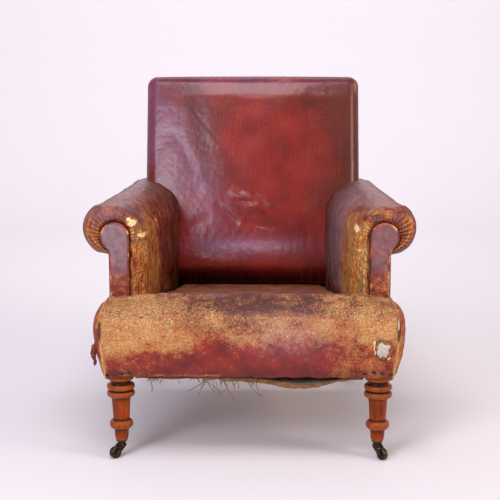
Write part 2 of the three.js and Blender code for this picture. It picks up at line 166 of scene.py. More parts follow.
def spaced(points: Sequence[Sequence[float]], count: int, rounds: int = 3) -> np.ndarray:
    """A path through points, rounded and cut into even steps.

    Args:
        points: the path's corners.
        count: how many points to return.
        rounds: how often its corners are cut.

    Returns:
        An array of count points.
    """
    path = np.asarray(points, float)
    for _ in range(rounds):
        near = 0.75 * path[:-1] + 0.25 * path[1:]
        far = 0.25 * path[:-1] + 0.75 * path[1:]
        middle = np.stack([near, far], axis=1).reshape(-1, path.shape[1])
        path = np.vstack([path[:1], middle, path[-1:]])
    run = np.concatenate([[0.0], np.cumsum(np.linalg.norm(np.diff(path, axis=0), axis=1))])
    at = np.linspace(0.0, run[-1], count)
    return np.stack([np.interp(at, run, path[:, k]) for k in range(path.shape[1])], axis=1)


# ---- Meshes -------------------------------------------------------------------------------


@dataclass
class Hide:
    """One cut of leather while it is made: a grid of points with its marks of wear, dirt, painted
    shade and painted sheen.
    """

    points: np.ndarray
    lay: np.ndarray | None = None
    marks: dict[str, np.ndarray] = field(default_factory=dict)

    def __post_init__(self) -> None:
        """Lays the leather out flat: its run along the rows and the columns, from its middle."""
        if self.lay is None:
            rows = np.linalg.norm(np.diff(self.points, axis=0), axis=2)
            cols = np.linalg.norm(np.diff(self.points, axis=1), axis=2)
            down = np.vstack([np.zeros(self.points.shape[1]), np.cumsum(rows, axis=0)])
            across = np.hstack([np.zeros((self.points.shape[0], 1)), np.cumsum(cols, axis=1)])
            across = across - across[:, across.shape[1] // 2][:, None]
            self.lay = np.stack([across, down, np.zeros_like(down)], axis=2)

    def normals(self) -> np.ndarray:
        """The outward direction at each point."""
        along = np.gradient(self.points, axis=1)
        up = np.gradient(self.points, axis=0)
        out = np.cross(along, up)
        return out / np.maximum(np.linalg.norm(out, axis=2, keepdims=True), 1e-9)

    def push(self, amount: np.ndarray) -> None:
        """Moves each point outwards by amount."""
        self.points = self.points + self.normals() * amount[..., None]

    def mark(self, name: str, value: np.ndarray | float) -> None:
        """Adds a mark of wear, dirt, painted shade and painted sheen, from 0 to 1."""
        shape = self.points.shape[:2]
        was = self.marks.get(name, np.zeros(shape))
        self.marks[name] = np.clip(np.maximum(was, np.broadcast_to(value, shape)), 0.0, 1.0)

    def mirror(self) -> None:
        """Turns it into the same cut for the chair's other side."""
        self.points = (self.points * (-1.0, 1.0, 1.0))[:, ::-1]
        self.lay = self.lay[:, ::-1]
        self.marks = {name: values[:, ::-1] for name, values in self.marks.items()}


def write_piece(
    name: str,
    points: np.ndarray,
    faces: Sequence[Sequence[int]],
    look: bpy.types.Material,
    marks: dict[str, np.ndarray] | None = None,
    lay: np.ndarray | None = None,
    body: str = CHAIR,
) -> bpy.types.Object:
    """Makes an object from a mesh in millimetres, and fixes it to a body.

    Args:
        name: the piece's name.
        points: its vertices.
        faces: the corners of its faces.
        look: its material.
        marks: a value from 0 to 1 for each vertex, for each mark of wear, dirt, painted shade and
            painted sheen.
        lay: where each vertex lies on the flat material.
        body: the body it moves with.

    Returns:
        The new object.
    """
    mesh = bpy.data.meshes.new(name)
    placed = (np.asarray(points, float) + (0.0, CENTRE, 0.0)) * MM
    mesh.from_pydata(placed.tolist(), [], [list(f) for f in faces])
    mesh.update()
    count = len(mesh.vertices)
    for mark in MARKS:
        values = (marks or {}).get(mark, np.zeros(count))
        made = mesh.attributes.new(mark, "FLOAT", "POINT")
        made.data.foreach_set("value", np.ascontiguousarray(values, dtype=np.float32).ravel())
    flat = np.asarray(points if lay is None else lay, float) * MM
    made = mesh.attributes.new("lay", "FLOAT_VECTOR", "POINT")
    made.data.foreach_set("vector", np.ascontiguousarray(flat, dtype=np.float32).ravel())
    mesh.polygons.foreach_set("use_smooth", [True] * len(mesh.polygons))
    mesh.materials.append(look)
    piece = bpy.data.objects.new(name, mesh)
    bpy.context.scene.collection.objects.link(piece)
    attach(piece, body)
    log.info("%s: %d vertices, %d faces", name, count, len(mesh.polygons))
    return piece


def grid_faces(rows: int, columns: int, start: int = 0) -> list[tuple[int, int, int, int]]:
    """The four-cornered faces of a grid whose first vertex is start."""
    return [
        (start + r * columns + c, start + r * columns + c + 1,
         start + (r + 1) * columns + c + 1, start + (r + 1) * columns + c)
        for r in range(rows - 1)
        for c in range(columns - 1)
    ]


def write_hides(
    name: str,
    hides: Sequence[Hide],
    look: bpy.types.Material,
    keep: Callable[[np.ndarray, int], np.ndarray] | None = None,
) -> bpy.types.Object:
    """Joins cuts of leather into one piece.

    Args:
        name: the piece's name.
        hides: the cuts, whose touching edges are welded.
        look: the leather.
        keep: given a cut's points and its number, says which points have leather at all.

    Returns:
        The new object.
    """
    points, lay, faces, start = [], [], [], 0
    marks: dict[str, list[np.ndarray]] = {m: [] for m in MARKS}
    for number, hide in enumerate(hides):
        rows, columns = hide.points.shape[:2]
        own = grid_faces(rows, columns, start)
        if keep is not None:
            kept = keep(hide.points, number).ravel()
            own = [f for f in own if all(kept[i - start] for i in f)]
        faces += own
        points.append(hide.points.reshape(-1, 3))
        lay.append(hide.lay.reshape(-1, 3) + (0.0, 0.0, 400.0 * number))
        for mark, values in marks.items():
            values.append(hide.marks.get(mark, np.zeros((rows, columns))).ravel())
        start += rows * columns
    piece = write_piece(
        name, np.vstack(points), faces, look,
        {m: np.concatenate(v) for m, v in marks.items()}, np.vstack(lay),
    )
    tidy_mesh(piece)
    return piece


def tidy_mesh(piece: bpy.types.Object) -> None:
    """Welds vertices that meet and takes away those that no face uses."""
    made = bmesh.new()
    made.from_mesh(piece.data)
    bmesh.ops.remove_doubles(made, verts=made.verts, dist=0.00005)
    loose = [v for v in made.verts if not v.link_faces]
    bmesh.ops.delete(made, geom=loose, context="VERTS")
    made.to_mesh(piece.data)
    made.free()


def tube(path: np.ndarray, radius: float | np.ndarray, sides: int = 10) -> tuple[np.ndarray, list]:
    """A round cord along a path, closed at both ends.

    Args:
        path: the points along its middle.
        radius: its radius, or one for each point.
        sides: how many sides it has.

    Returns:
        Its vertices and its faces.
    """
    ahead = np.gradient(path, axis=0)
    ahead /= np.maximum(np.linalg.norm(ahead, axis=1, keepdims=True), 1e-9)
    up = np.array([0.0, 0.0, 1.0]) if abs(ahead[0, 2]) < 0.9 else np.array([0.0, 1.0, 0.0])
    rings, across = [], np.cross(ahead[0], up)
    widths = np.broadcast_to(radius, len(path))
    for at, forward, width in zip(path, ahead, widths):
        across = across - forward * (across @ forward)
        across /= np.linalg.norm(across)
        other = np.cross(forward, across)
        turn = np.linspace(0.0, 2 * math.pi, sides, endpoint=False)[:, None]
        rings.append(at + width * (np.cos(turn) * across + np.sin(turn) * other))
    faces = [
        (r * sides + i, r * sides + (i + 1) % sides,
         (r + 1) * sides + (i + 1) % sides, (r + 1) * sides + i)
        for r in range(len(path) - 1)
        for i in range(sides)
    ]
    last = (len(path) - 1) * sides
    faces.append(tuple(range(sides - 1, -1, -1)))
    faces.append(tuple(range(last, last + sides)))
    return np.vstack(rings), faces


def gather(parts: Sequence[tuple[np.ndarray, list]]) -> tuple[np.ndarray, list]:
    """Several meshes as one.

    Args:
        parts: the vertices and faces of each.

    Returns:
        The vertices and the faces of them all.
    """
    points, faces, start = [], [], 0
    for own_points, own_faces in parts:
        points.append(own_points)
        faces += [tuple(i + start for i in f) for f in own_faces]
        start += len(own_points)
    return np.vstack(points), faces


# ---- Finishes -----------------------------------------------------------------------------


def linear(colour: str) -> tuple[float, float, float, float]:
    """A colour given as an sRGB hex value, in linear light with an alpha of 1."""
    channels = [int(colour[i : i + 2], 16) / 255 for i in (1, 3, 5)]
    bent = [c / 12.92 if c <= 0.04045 else ((c + 0.055) / 1.055) ** 2.4 for c in channels]
    return (*bent, 1.0)


class Nodes:
    """The nodes of one new material."""

    def __init__(self, name: str) -> None:
        """Starts an empty material.

        Args:
            name: the material's name.
        """
        self.made = bpy.data.materials.new(name)
        self.made.use_nodes = True
        self.tree = self.made.node_tree
        self.tree.nodes.clear()

    def add(
        self, kind: str, out: int | str = 0, settings: dict | None = None, **inputs: object
    ) -> bpy.types.NodeSocket | None:
        """Adds one node with its settings and links.

        Args:
            kind: the node's type, without ShaderNode in front.
            out: the number or the name of the output to return.
            settings: values for the node's own properties, or stops: each place from 0 to 1
                on a colour ramp and its colour.
            **inputs: a value or a socket to link for each input, by its name in lower case with
                _ for a space, or by i and its number.

        Returns:
            The output, or None from a node that has none.
        """
        node = self.tree.nodes.new(f"ShaderNode{kind}")
        for key, value in (settings or {}).items():
            if key == "stops":
                bar = node.color_ramp.elements
                while len(bar) < len(value):
                    bar.new(0.5)
                for element, (place, colour) in zip(bar, value):
                    element.position, element.color = place, linear(colour)
            else:
                setattr(node, key, value)
        names = {s.name.lower().replace(" ", "_"): s for s in reversed(node.inputs) if s.enabled}
        for key, value in inputs.items():
            numbered = key[0] == "i" and key[1:].isdigit()
            socket = node.inputs[int(key[1:])] if numbered else names[key]
            if isinstance(value, bpy.types.NodeSocket):
                self.tree.links.new(value, socket)
            else:
                socket.default_value = value
        return node.outputs[out] if node.outputs else None

    def finish(self, **inputs: object) -> bpy.types.Material:
        """Ends the material with a shader that has these inputs, and returns it."""
        self.add("OutputMaterial", surface=self.add("BsdfPrincipled", **inputs))
        return self.made


@dataclass(frozen=True)
class Leather:
    """Vegetable-tanned cowhide, dyed and glazed red a century ago and since rubbed and cracked.

    The glaze is a thin glossy skin. Where it is rubbed, first an orange under-dye and then the
    tan hide show through in specks that run together. The eye reads its age from that mixture,
    from the crackle between the grain and from the broken gloss.
    """

    name: str
    deep: str = "#42100d"
    glaze: str = "#7a231d"
    bright: str = "#8f3529"
    orange: str = "#a3452a"
    ochre: str = "#b0713f"
    tan: str = "#c99560"
    pale: str = "#dcb27e"
    bare: str = "#dfc38c"
    mist_and_sheen: str = "#a08090"
    film: str = "#4f2a1e"
    line: str = "#3b1610"
    soil_and_shade: str = "#1d0705"
    blotch: float = 60.0
    patch: float = 15.0
    grit: float = 4.6
    cell: float = 4.6
    gloss: float = 0.30
    relief: float = 0.35
    hairline: float = 0.0
    scatter: float = 1.0
    lines: float = 0.72
    mist_and_sheen_break: float = 0.35
    film_matt: float = 0.75
    stretch: tuple[float, float, float] = (1.0, 1.0, 1.0)

    def make(self) -> bpy.types.Material:
        """The leather as a material."""
        n = Nodes(self.name)
        at = self.patterns(n)
        self.wear(n, at)
        self.crackle(n, at)
        colour = self.colour(n, at)
        # The grain's cells stand up, and its cracks cut in.
        cells = n.add("MapRange", value=at["edge"], from_min=0.0, from_max=0.3)
        height = n.add(
            "Math", 0, {"operation": "MULTIPLY_ADD"}, i0=cells, i1=0.35, i2=at["patch"]
        )
        height = n.add("Math", 0, {"operation": "SUBTRACT"}, i0=height, i1=at["crackle"])
        if self.hairline:
            scratch = self.scratches(n, at)
            colour = n.add(
                "Mix", 2, {"data_type": "RGBA"}, i0=scratch, i6=colour, i7=linear(self.orange)
            )
            height = n.add("Math", 0, {"operation": "SUBTRACT"}, i0=height, i1=scratch)
        normal = n.add("Bump", strength=self.relief, distance=0.0011, height=height)
        return n.finish(
            base_color=colour, roughness=self.roughness(n, at), ior=1.5, normal=normal,
            coat_weight=0.04, coat_roughness=0.2, specular_ior_level=0.36,
        )

    def patterns(self, n: Nodes) -> dict[str, bpy.types.NodeSocket]:
        """The marks of wear, the place on the flat hide and three sizes of noise over it."""
        at = {m: n.add("Attribute", "Fac", {"attribute_name": m}) for m in MARKS}
        at["lay"] = n.add("Attribute", "Vector", {"attribute_name": "lay"})
        at["drawn"] = n.add(
            "VectorMath", 0, {"operation": "MULTIPLY"}, i0=at["lay"], i1=self.stretch
        )
        for name, place, size, detail, rough in (
            ("blotch", "lay", self.blotch, 3, 0.55),
            ("patch", "drawn", self.patch, 4, 0.62),
            ("grit", "drawn", self.grit, 3, 0.7),
        ):
            at[name] = n.add(
                "TexNoise", "Fac", vector=at[place], scale=1000.0 / size, detail=detail,
                roughness=rough,
            )
        return at

    def wear(self, n: Nodes, at: dict[str, bpy.types.NodeSocket]) -> None:
        """How far the glaze is gone: the rub mark, which on the back also paints highlights, against
        three sizes of noise.
        """
        worn = at["rub"]
        for name, share in (("grit", 1.35), ("patch", 1.35), ("blotch", 0.6)):
            part = n.add(
                "Math", 0, {"operation": "MULTIPLY_ADD"}, i0=at[name], i1=share * self.scatter,
                i2=-share * self.scatter / 2,
            )
            worn = n.add("Math", 0, {"operation": "ADD"}, i0=worn, i1=part)
        at["worn"] = worn
        at["gone"] = n.add("MapRange", value=worn, from_min=0.26, from_max=0.44)

    def crackle(self, n: Nodes, at: dict[str, bpy.types.NodeSocket]) -> None:
        """Grain: cells a few millimetres across, each a shade of its own, parted by lines."""
        wander = n.add("TexNoise", "Color", vector=at["drawn"], scale=160.0)
        bent = n.add(
            "VectorMath", 0, {"operation": "MULTIPLY_ADD"}, i0=wander, i1=(0.006, 0.006, 0.006),
            i2=at["drawn"],
        )
        fine, wide = (
            n.add(
                "TexVoronoi", "Distance", {"feature": "DISTANCE_TO_EDGE"}, vector=bent,
                scale=1000.0 / self.cell / coarser,
            )
            for coarser in (1.0, 2.7)
        )
        fine_line = n.add("MapRange", value=fine, from_min=0.16, from_max=0.02)
        wide_line = n.add("MapRange", value=wide, from_min=0.09, from_max=0.01)
        lines = n.add("Math", 0, {"operation": "MAXIMUM"}, i0=fine_line, i1=wide_line)
        spread = n.add(
            "MapRange", value=at["patch"], from_min=0.40, from_max=0.58, to_min=0.15, to_max=1.0
        )
        crackle = n.add("Math", 0, {"operation": "MULTIPLY"}, i0=lines, i1=spread)
        at["crackle"] = n.add("Math", 0, {"operation": "MULTIPLY"}, i0=crackle, i1=at["crack"])
        at["edge"] = fine

    def colour(
        self, n: Nodes, at: dict[str, bpy.types.NodeSocket]
    ) -> bpy.types.NodeSocket:
        """The glaze with what shows through it and what lies on it, and the painted shade and
        painted sheen that the marks also carry.
        """
        # The glaze wanders between a deep and a bright red over a hand's width.
        glaze_stops = [(0.28, self.deep), (0.5, self.glaze), (0.75, self.bright)]
        glazed = n.add("ValToRGB", 0, {"stops": glaze_stops}, fac=at["blotch"])
        rub_stops = [(0.36, self.orange), (0.54, self.ochre), (0.76, self.tan), (1.0, self.pale)]
        rubbed = n.add("ValToRGB", 0, {"stops": rub_stops}, fac=at["worn"])
        colour = n.add("Mix", 2, {"data_type": "RGBA"}, i0=at["gone"], i6=glazed, i7=rubbed)

        # The brown film of old polish is broken where the high grain has been touched.
        caught = n.add(
            "MapRange", value=at["worn"], from_min=0.42, from_max=0.80, to_min=1.0, to_max=0.18
        )
        # The grey bloom of dry wax lies where leather is touched but never rubbed through. The same
        # mark also paints sheen: pale mauve highlights where window and ceiling light is reflected.
        bloom_and_sheen_share = n.add(
            "MapRange", value=at["patch"], from_min=0.25, from_max=0.62, to_min=self.mist_and_sheen_break,
            to_max=1.0,
        )
        # Crackle, film, bloom and grime are laid on in turn. Besides old polish and dirt, the film
        # and the grime also paint shade, and the bloom also paints sheen.
        for mark, share, over in (
            ("crackle", self.lines, self.line), ("film", caught, self.film),
            ("bloom", bloom_and_sheen_share, self.mist_and_sheen), ("grime", 0.9, self.soil_and_shade),
        ):
            laid = n.add("Math", 0, {"operation": "MULTIPLY"}, i0=at[mark], i1=share)
            colour = n.add("Mix", 2, {"data_type": "RGBA"}, i0=laid, i6=colour, i7=linear(over))
        at["peeled"] = n.add("MapRange", value=at["bare"], from_min=0.45, from_max=0.55)
        return n.add(
            "Mix", 2, {"data_type": "RGBA"}, i0=at["peeled"], i6=colour, i7=linear(self.bare)
        )

    def roughness(
        self, n: Nodes, at: dict[str, bpy.types.NodeSocket]
    ) -> bpy.types.NodeSocket:
        """Glossy where the glaze is whole, and matt where it is gone or under a film."""
        rough = n.add("MapRange", value=at["gone"], to_min=self.gloss, to_max=0.58)
        covered = n.add("Math", 0, {"operation": "MAXIMUM"}, i0=at["film"], i1=at["peeled"])
        matt = n.add("MapRange", value=covered, to_min=0.0, to_max=self.film_matt)
        rough = n.add("Math", 0, {"operation": "MAXIMUM"}, i0=rough, i1=matt)
        uneven = n.add(
            "MapRange", value=at["grit"], from_min=0.3, from_max=0.7, to_min=-0.05, to_max=0.07
        )
        return n.add("Math", 0, {"operation": "ADD"}, i0=rough, i1=uneven)

    def scratches(
        self, n: Nodes, at: dict[str, bpy.types.NodeSocket]
    ) -> bpy.types.NodeSocket:
        """Upright hairlines, a hand long, where buckles and buttons have drawn over the glaze."""
        thin = n.add(
            "VectorMath", 0, {"operation": "MULTIPLY"}, i0=at["lay"], i1=(1.0, 0.045, 1.0)
        )
        streak = n.add(
            "TexNoise", "Fac", vector=thin, scale=1000.0 / 5.0, detail=2, roughness=0.5
        )
        scratch = n.add("MapRange", value=streak, from_min=0.60, from_max=0.68)
        return n.add("Math", 0, {"operation": "MULTIPLY"}, i0=scratch, i1=self.hairline)


@dataclass(frozen=True)
class Timber:
    """Turned or sawn hardwood, whose grain runs along Z, under polish or bare."""

    name: str
    light: str
    dark: str
    gloss: float
    coat: float
    grain: float = 3.5
    soil_and_shade: str = "#1c0d06"
    rubbed: str = "#c98a4e"

    def make(self) -> bpy.types.Material:
        """The wood as a material: drawn-out grain with darker polish left in its hollows."""
        n = Nodes(self.name)
        place = n.add("TexCoord", "Object")
        along = n.add("VectorMath", 0, {"operation": "MULTIPLY"}, i0=place, i1=(1.0, 1.0, 0.07))
        grain = n.add(
            "TexNoise", "Fac", vector=along, scale=1000.0 / self.grain, detail=4, roughness=0.65
        )
        broad = n.add(
            "TexNoise", "Fac", vector=place, scale=1000.0 / 30.0, detail=3, roughness=0.5
        )
        fine = n.add("Math", 0, {"operation": "MULTIPLY"}, i0=grain, i1=0.6)
        both = n.add("Math", 0, {"operation": "MULTIPLY_ADD"}, i0=broad, i1=0.4, i2=fine)
        stops = [(0.32, self.dark), (0.62, self.light)]
        colour = n.add("ValToRGB", 0, {"stops": stops}, fac=both)
        for mark, over in (("grime", self.soil_and_shade), ("rub", self.rubbed)):
            share = n.add("Attribute", "Fac", {"attribute_name": mark})
            colour = n.add("Mix", 2, {"data_type": "RGBA"}, i0=share, i6=colour, i7=linear(over))
        rough = n.add(
            "MapRange", value=grain, from_min=0.3, from_max=0.7, to_min=self.gloss,
            to_max=self.gloss + 0.14,
        )
        return n.finish(
            base_color=colour, roughness=rough, ior=1.5, coat_weight=self.coat,
            normal=n.add("Bump", strength=0.2, distance=0.0003, height=grain),
            coat_roughness=0.08, specular_ior_level=0.15,
        )


@dataclass(frozen=True)
class Metal:
    """Cast or drawn metal, dulled by handling."""

    name: str
    light: str
    dark: str
    rough: float
    speck: float = 6.0

    def make(self) -> bpy.types.Material:
        """The metal as a material: bright where it is touched and dark elsewhere."""
        n = Nodes(self.name)
        stain = n.add(
            "TexNoise", "Fac", vector=n.add("TexCoord", "Object"), scale=1000.0 / self.speck,
            detail=5, roughness=0.6,
        )
        stops = [(0.35, self.dark), (0.65, self.light)]
        rough = n.add(
            "MapRange", value=stain, from_min=0.3, from_max=0.7, to_min=self.rough + 0.15,
            to_max=self.rough,
        )
        return n.finish(
            base_color=n.add("ValToRGB", 0, {"stops": stops}, fac=stain), roughness=rough,
            metallic=1.0, normal=n.add("Bump", strength=0.2, distance=0.0002, height=stain),
        )


@dataclass(frozen=True)
class Cloth:
    """Coarse jute or matted flock: threads that cross, or loose fibres where thread is 0.

    Jute threads lie 2 mm apart, and are drawn twice as coarse so that they show.
    """

    name: str
    light: str
    dark: str
    thread: float = 4.0

    def make(self) -> bpy.types.Material:
        """The cloth as a material: a woven bump, or tangled fibre."""
        n = Nodes(self.name)
        place = n.add("TexCoord", "Object")
        size = 9.0 if self.thread else 2.5
        height = n.add(
            "TexNoise", "Fac", vector=place, scale=1000.0 / size, detail=6, roughness=0.75
        )
        stops = [(0.3, self.dark), (0.7, self.light)]
        colour = n.add("ValToRGB", 0, {"stops": stops}, fac=height)
        if self.thread:
            # A pair of crossed waves. A wave's length at scale 1 is a tenth of pi in metres.
            waves = [
                n.add(
                    "TexWave", "Fac", {"bands_direction": axis}, vector=place,
                    scale=100 * math.pi / self.thread, distortion=1.0, detail=1.0,
                )
                for axis in ("X", "Y")
            ]
            height = n.add("Math", 0, {"operation": "MULTIPLY"}, i0=waves[0], i1=waves[1])
            shade = n.add(
                "MapRange", value=height, from_min=0.0, from_max=0.5, to_min=0.75, to_max=0.0
            )
            colour = n.add(
                "Mix", 2, {"data_type": "RGBA"}, i0=shade, i6=colour, i7=linear(self.dark)
            )
        return n.finish(
            base_color=colour, roughness=0.95, specular_ior_level=0.2, sheen_weight=0.3,
            sheen_roughness=0.6,
            normal=n.add("Bump", strength=0.8, distance=0.0008, height=height),
        )


@dataclass
class Finishes:
    """Every material of the chair, made once."""

    back: bpy.types.Material = field(
        default_factory=lambda: Leather(
            "glazed red cowhide", deep="#62150f", glaze="#801f17", bright="#932c1e", gloss=0.25,
            relief=0.12, hairline=0.25, film="#4a2016", scatter=0.4, blotch=110.0,
            mist_and_sheen="#775b88", mist_and_sheen_break=0.8, film_matt=0.38,
        ).make()
    )
    arm: bpy.types.Material = field(
        default_factory=lambda: Leather(
            "rubbed brown cowhide", deep="#38110b", glaze="#661f16", bright="#7d3021",
            orange="#8f3610", ochre="#a65616", tan="#bd7a2c", pale="#d09a56", gloss=0.31,
            cell=5.4, relief=0.7, stretch=(1.0, 0.36, 1.0), line="#2a0c07", lines=0.75,
            mist_and_sheen="#93757a", scatter=1.25,
        ).make()
    )
    seat: bpy.types.Material = field(
        default_factory=lambda: Leather(
            "rubbed tan cowhide", deep="#5c120d", glaze="#8a2118", bright="#a03220",
            orange="#b04a26", ochre="#b36a33", tan="#c78a4c", pale="#d8a768", gloss=0.42,
            blotch=52.0, relief=0.5, cell=4.4, line="#43160e", film="#45231f", lines=0.85,
            scatter=1.0,
        ).make()
    )
    panel: bpy.types.Material = field(
        default_factory=lambda: Leather(
            "glazed brown cowhide", deep="#4e120e", glaze="#7d241a", bright="#963a28",
            orange="#a84522", ochre="#b5632c", tan="#c98048", gloss=0.36, relief=0.3,
            scatter=1.0, mist_and_sheen="#8c757b",
        ).make()
    )
    walnut: bpy.types.Material = field(
        default_factory=lambda: Timber(
            "polished turned walnut", "#a03f00", "#3d1202", gloss=0.30, coat=0.10
        ).make()
    )
    beech: bpy.types.Material = field(
        default_factory=lambda: Timber(
            "bare sawn beech", "#b58d5e", "#8b683f", gloss=0.65, coat=0.0
        ).make()
    )
    bronze: bpy.types.Material = field(
        default_factory=lambda: Metal("tarnished cast bronze", "#5b4c3e", "#231d19", 0.42).make()
    )
    steel: bpy.types.Material = field(
        default_factory=lambda: Metal("coppered spring wire", "#9c8672", "#5e4c40", 0.4).make()
    )
    jute: bpy.types.Material = field(
        default_factory=lambda: Cloth("woven jute hessian", "#ad7840", "#5e3a1c").make()
    )
    hair: bpy.types.Material = field(
        default_factory=lambda: Cloth("curled horsehair", "#5a4430", "#2a1c12", 0).make()
    )
    flock: bpy.types.Material = field(
        default_factory=lambda: Cloth("matted wool flock", "#dcd6c6", "#8e8672", 0).make()
    )


# ---- The back -----------------------------------------------------------------------------


@dataclass
class Recline:
    """The leaning frame of the back: x across, y through its thickness, z up its length."""

    angle: float = 15.0
    foot: tuple[float, float] = (237.0, 232.0)

    def place(self, x: np.ndarray, y: np.ndarray, z: np.ndarray) -> np.ndarray:
        """Points of the leaning frame in the chair's frame."""
        c, s = math.cos(math.radians(self.angle)), math.sin(math.radians(self.angle))
        x, y, z = np.broadcast_arrays(x, y, z)
        return np.stack([x, self.foot[0] + y * c + z * s, self.foot[1] - y * s + z * c], axis=-1)

    def depth_at(self, height: np.ndarray, y: float) -> np.ndarray:
        """How far back the leaning plane y is at a height."""
        c, s = math.cos(math.radians(self.angle)), math.sin(math.radians(self.angle))
        z = (height - self.foot[1] + y * s) / c
        return self.foot[0] + y * c + z * s


RECLINE = Recline()


@dataclass
class InsideBack:
    """The stuffed back: one red hide over its front, wrapped round its sides and top."""

    half_width: float = 293.0
    bottom: float = 46.0
    top: float = 621.0
    front: float = -70.0
    rear: float = 20.0
    round_edge: float = 28.0
    step: float = 3.0

    def shape(self) -> Hide:
        """The hide before it is creased: flat in front, rolled over the sides and the top."""
        r = self.round_edge
        wrap = r * math.pi / 2 + (self.rear + 2.5 - self.front - r)
        wide, high = self.half_width - r, self.top - r
        columns = int(2 * (wide + wrap) / self.step) | 1
        rows = int((high + wrap - self.bottom) / self.step)
        x = np.linspace(-(wide + wrap), wide + wrap, columns)[None, :]
        z = np.linspace(self.bottom, high + wrap, rows)[:, None]
        x, z = np.broadcast_arrays(x, z)
        dx = np.sign(x) * np.clip(np.abs(x) - wide, 0, None)
        dz = np.clip(z - high, 0, None)
        away = np.maximum(np.abs(dx), dz)
        length = np.maximum(np.hypot(dx, dz), 1e-9)
        turn = np.clip(away / r, 0, math.pi / 2)
        out = r * np.sin(turn)
        deep = r * (1 - np.cos(turn)) + np.clip(away - r * math.pi / 2, 0, None)
        px = np.clip(x, -wide, wide) + out * dx / length
        pz = np.minimum(z, high) + out * dz / length
        self.flat = (x, z)
        self.deep = deep
        return Hide(RECLINE.place(px, self.front + deep, pz), on_plane(x, z))

    def crease(self, hide: Hide) -> None:
        """Stuffs, dents and wrinkles the hide as a century of shoulders has left it."""
        x, z = self.flat
        face = smoothstep(self.half_width + 6, self.half_width - 50, np.abs(x))
        face = face * smoothstep(self.top + 6, self.top - 30, z)
        place = on_plane(x, z)
        share = np.clip(np.abs(x) / self.half_width, 0, 1)
        swell = 21.0 * (1 - share**2.3) * smoothstep(20, 260, z)
        swell *= (1 - 0.6 * smoothstep(560, 621, z)) * smoothstep(80, 10, self.deep)
        swell += 23.0 * hump(z, 100, 58) * face * hump(x, 0, 260)
        swell -= 30.0 * smoothstep(90, 44, z) * smoothstep(60, 10, self.deep)
        forward = RECLINE.place(0.0, -1.0, 0.0) - RECLINE.place(0.0, 0.0, 0.0)
        hide.points = hide.points + swell[..., None] * forward
        # The top roll: a soft groove under the rounded top edge.
        push = -1.4 * hump(z, 574 + 5 * noise(place, 80, 5), 14) * smoothstep(290, 220, np.abs(x))
        # Two shallow hollows beside the raised middle, narrowing downwards.
        for side, lean in ((-1, 0.16), (1, 0.10)):
            middle = side * (158 - lean * (560 - z))
            push -= 1.2 * hump(x, middle, 30) * smoothstep(330, 430, z) * smoothstep(600, 540, z)
        push += 2.5 * cloud(place, 150, 3) * face * (0.35 + 0.65 * smoothstep(190, 290, z))
        wrinkle = 1.0 - folds(place * (1.0, 0.55, 1.0), 46, 9)
        low = hump(z, 250, 60) * 0.5 + 0.3 * smoothstep(500, 560, z)
        push -= 0.3 * wrinkle * low * face
        for a, b, deep, wide in (
            ((-102, 262), (-36, 200), 2.6, 9), ((-60, 300), (30, 232), -2.8, 13),
            ((-52, 268), (16, 262), 2.1, 7), ((-30, 290), (34, 236), -2.3, 7),
            ((-20, 214), (60, 190), 2.0, 8), ((0, 290), (44, 250), 2.2, 6),
            ((40, 250), (110, 205), 1.2, 11), ((-170, 190), (-110, 230), 0.8, 14),
            ((120, 240), (175, 300), 1.2, 14), ((-187, 549), (-76, 409), 0.25, 4),
            ((267, 527), (198, 423), 0.3, 4), ((-220, 470), (-150, 330), 0.9, 16),
        ):
            push -= deep * stroke(place[..., :2], a, b, wide)
        # Upright slack over the swell of the lower back.
        push += 0.22 * np.sin(x / 4.5 + 4 * noise(place, 50, 21)) * hump(z, 150, 40) * face
        push += 0.25 * cloud(place, 9, 12, 2)
        hide.push(push)

    def wear(self, hide: Hide) -> None:
        """Marks where the hide is scratched, rubbed and dirty, and paints its shade and sheen: shade
        low down, on its sides and in its hollows, and highlights on its left, its top roll and the
        swell of its lower back.
        """
        x, z = self.flat
        place = on_plane(x, z)
        edge = smoothstep(self.half_width - 34, self.half_width - 4, np.abs(x))
        top_edge = smoothstep(self.top - 34, self.top - 12, z)
        hide.mark("rub", 0.04 + 0.10 * smoothstep(560, 600, z) + 0.08 * np.maximum(edge, top_edge))
        n = cloud(place, 90, 61)
        wander = 26 * noise(place, 70, 63)
        hide.mark("film", 0.32 * smoothstep(545, 585, z + wander) * (0.6 + 0.8 * n))
        # Painted highlight: the top roll is lightened where it reflects the ceiling, on top of its
        # real wear.
        hide.mark("rub", 0.30 * smoothstep(555, 600, z) * smoothstep(660, 615, z) * (0.7 + n))
        # Painted shade: a darker brown film over the right of the back, and over its left outside
        # the sheen.
        right = x + 75 * n + wander + 0.12 * (z - 420)
        hide.mark("film", 0.78 * smoothstep(100, 240, right) * smoothstep(180, 320, z))
        hide.mark("film", 0.36 * hump(z, 535, 34) * smoothstep(-0.5, 0.3, n))
        left = x + 60 * n + wander - 0.35 * (560 - z)
        hide.mark("film", 0.45 * smoothstep(-110, -210, left) * smoothstep(200, 320, z))
        hide.mark("film", 0.30 * smoothstep(0.1, 0.7, n))
        corner = hump(x, 285, 16) * hump(z, 590, 34)
        hide.mark("rub", 0.62 * corner + 0.30 * hump(x, -288, 14) * hump(z, 560, 70))
        # Painted highlight: a lighter band across the swell of the lower back.
        hide.mark("rub", 0.34 * hump(z, 148, 20) * hump(x, 20, 140))
        for a, b, width in (
            ((-187, 549), (-76, 409), 2.2), ((267, 527), (198, 423), 2.0),
            ((-150, 470), (-90, 380), 1.5), ((150, 520), (120, 470), 1.4),
            ((-60, 590), (30, 585), 1.6), ((40, 330), (70, 290), 1.4),
        ):
            hide.mark("rub", 0.34 * stroke(place[..., :2], a, b, width))
        hide.mark("crack", 0.18 + 0.3 * smoothstep(560, 600, z) + 0.2 * smoothstep(120, 60, z))
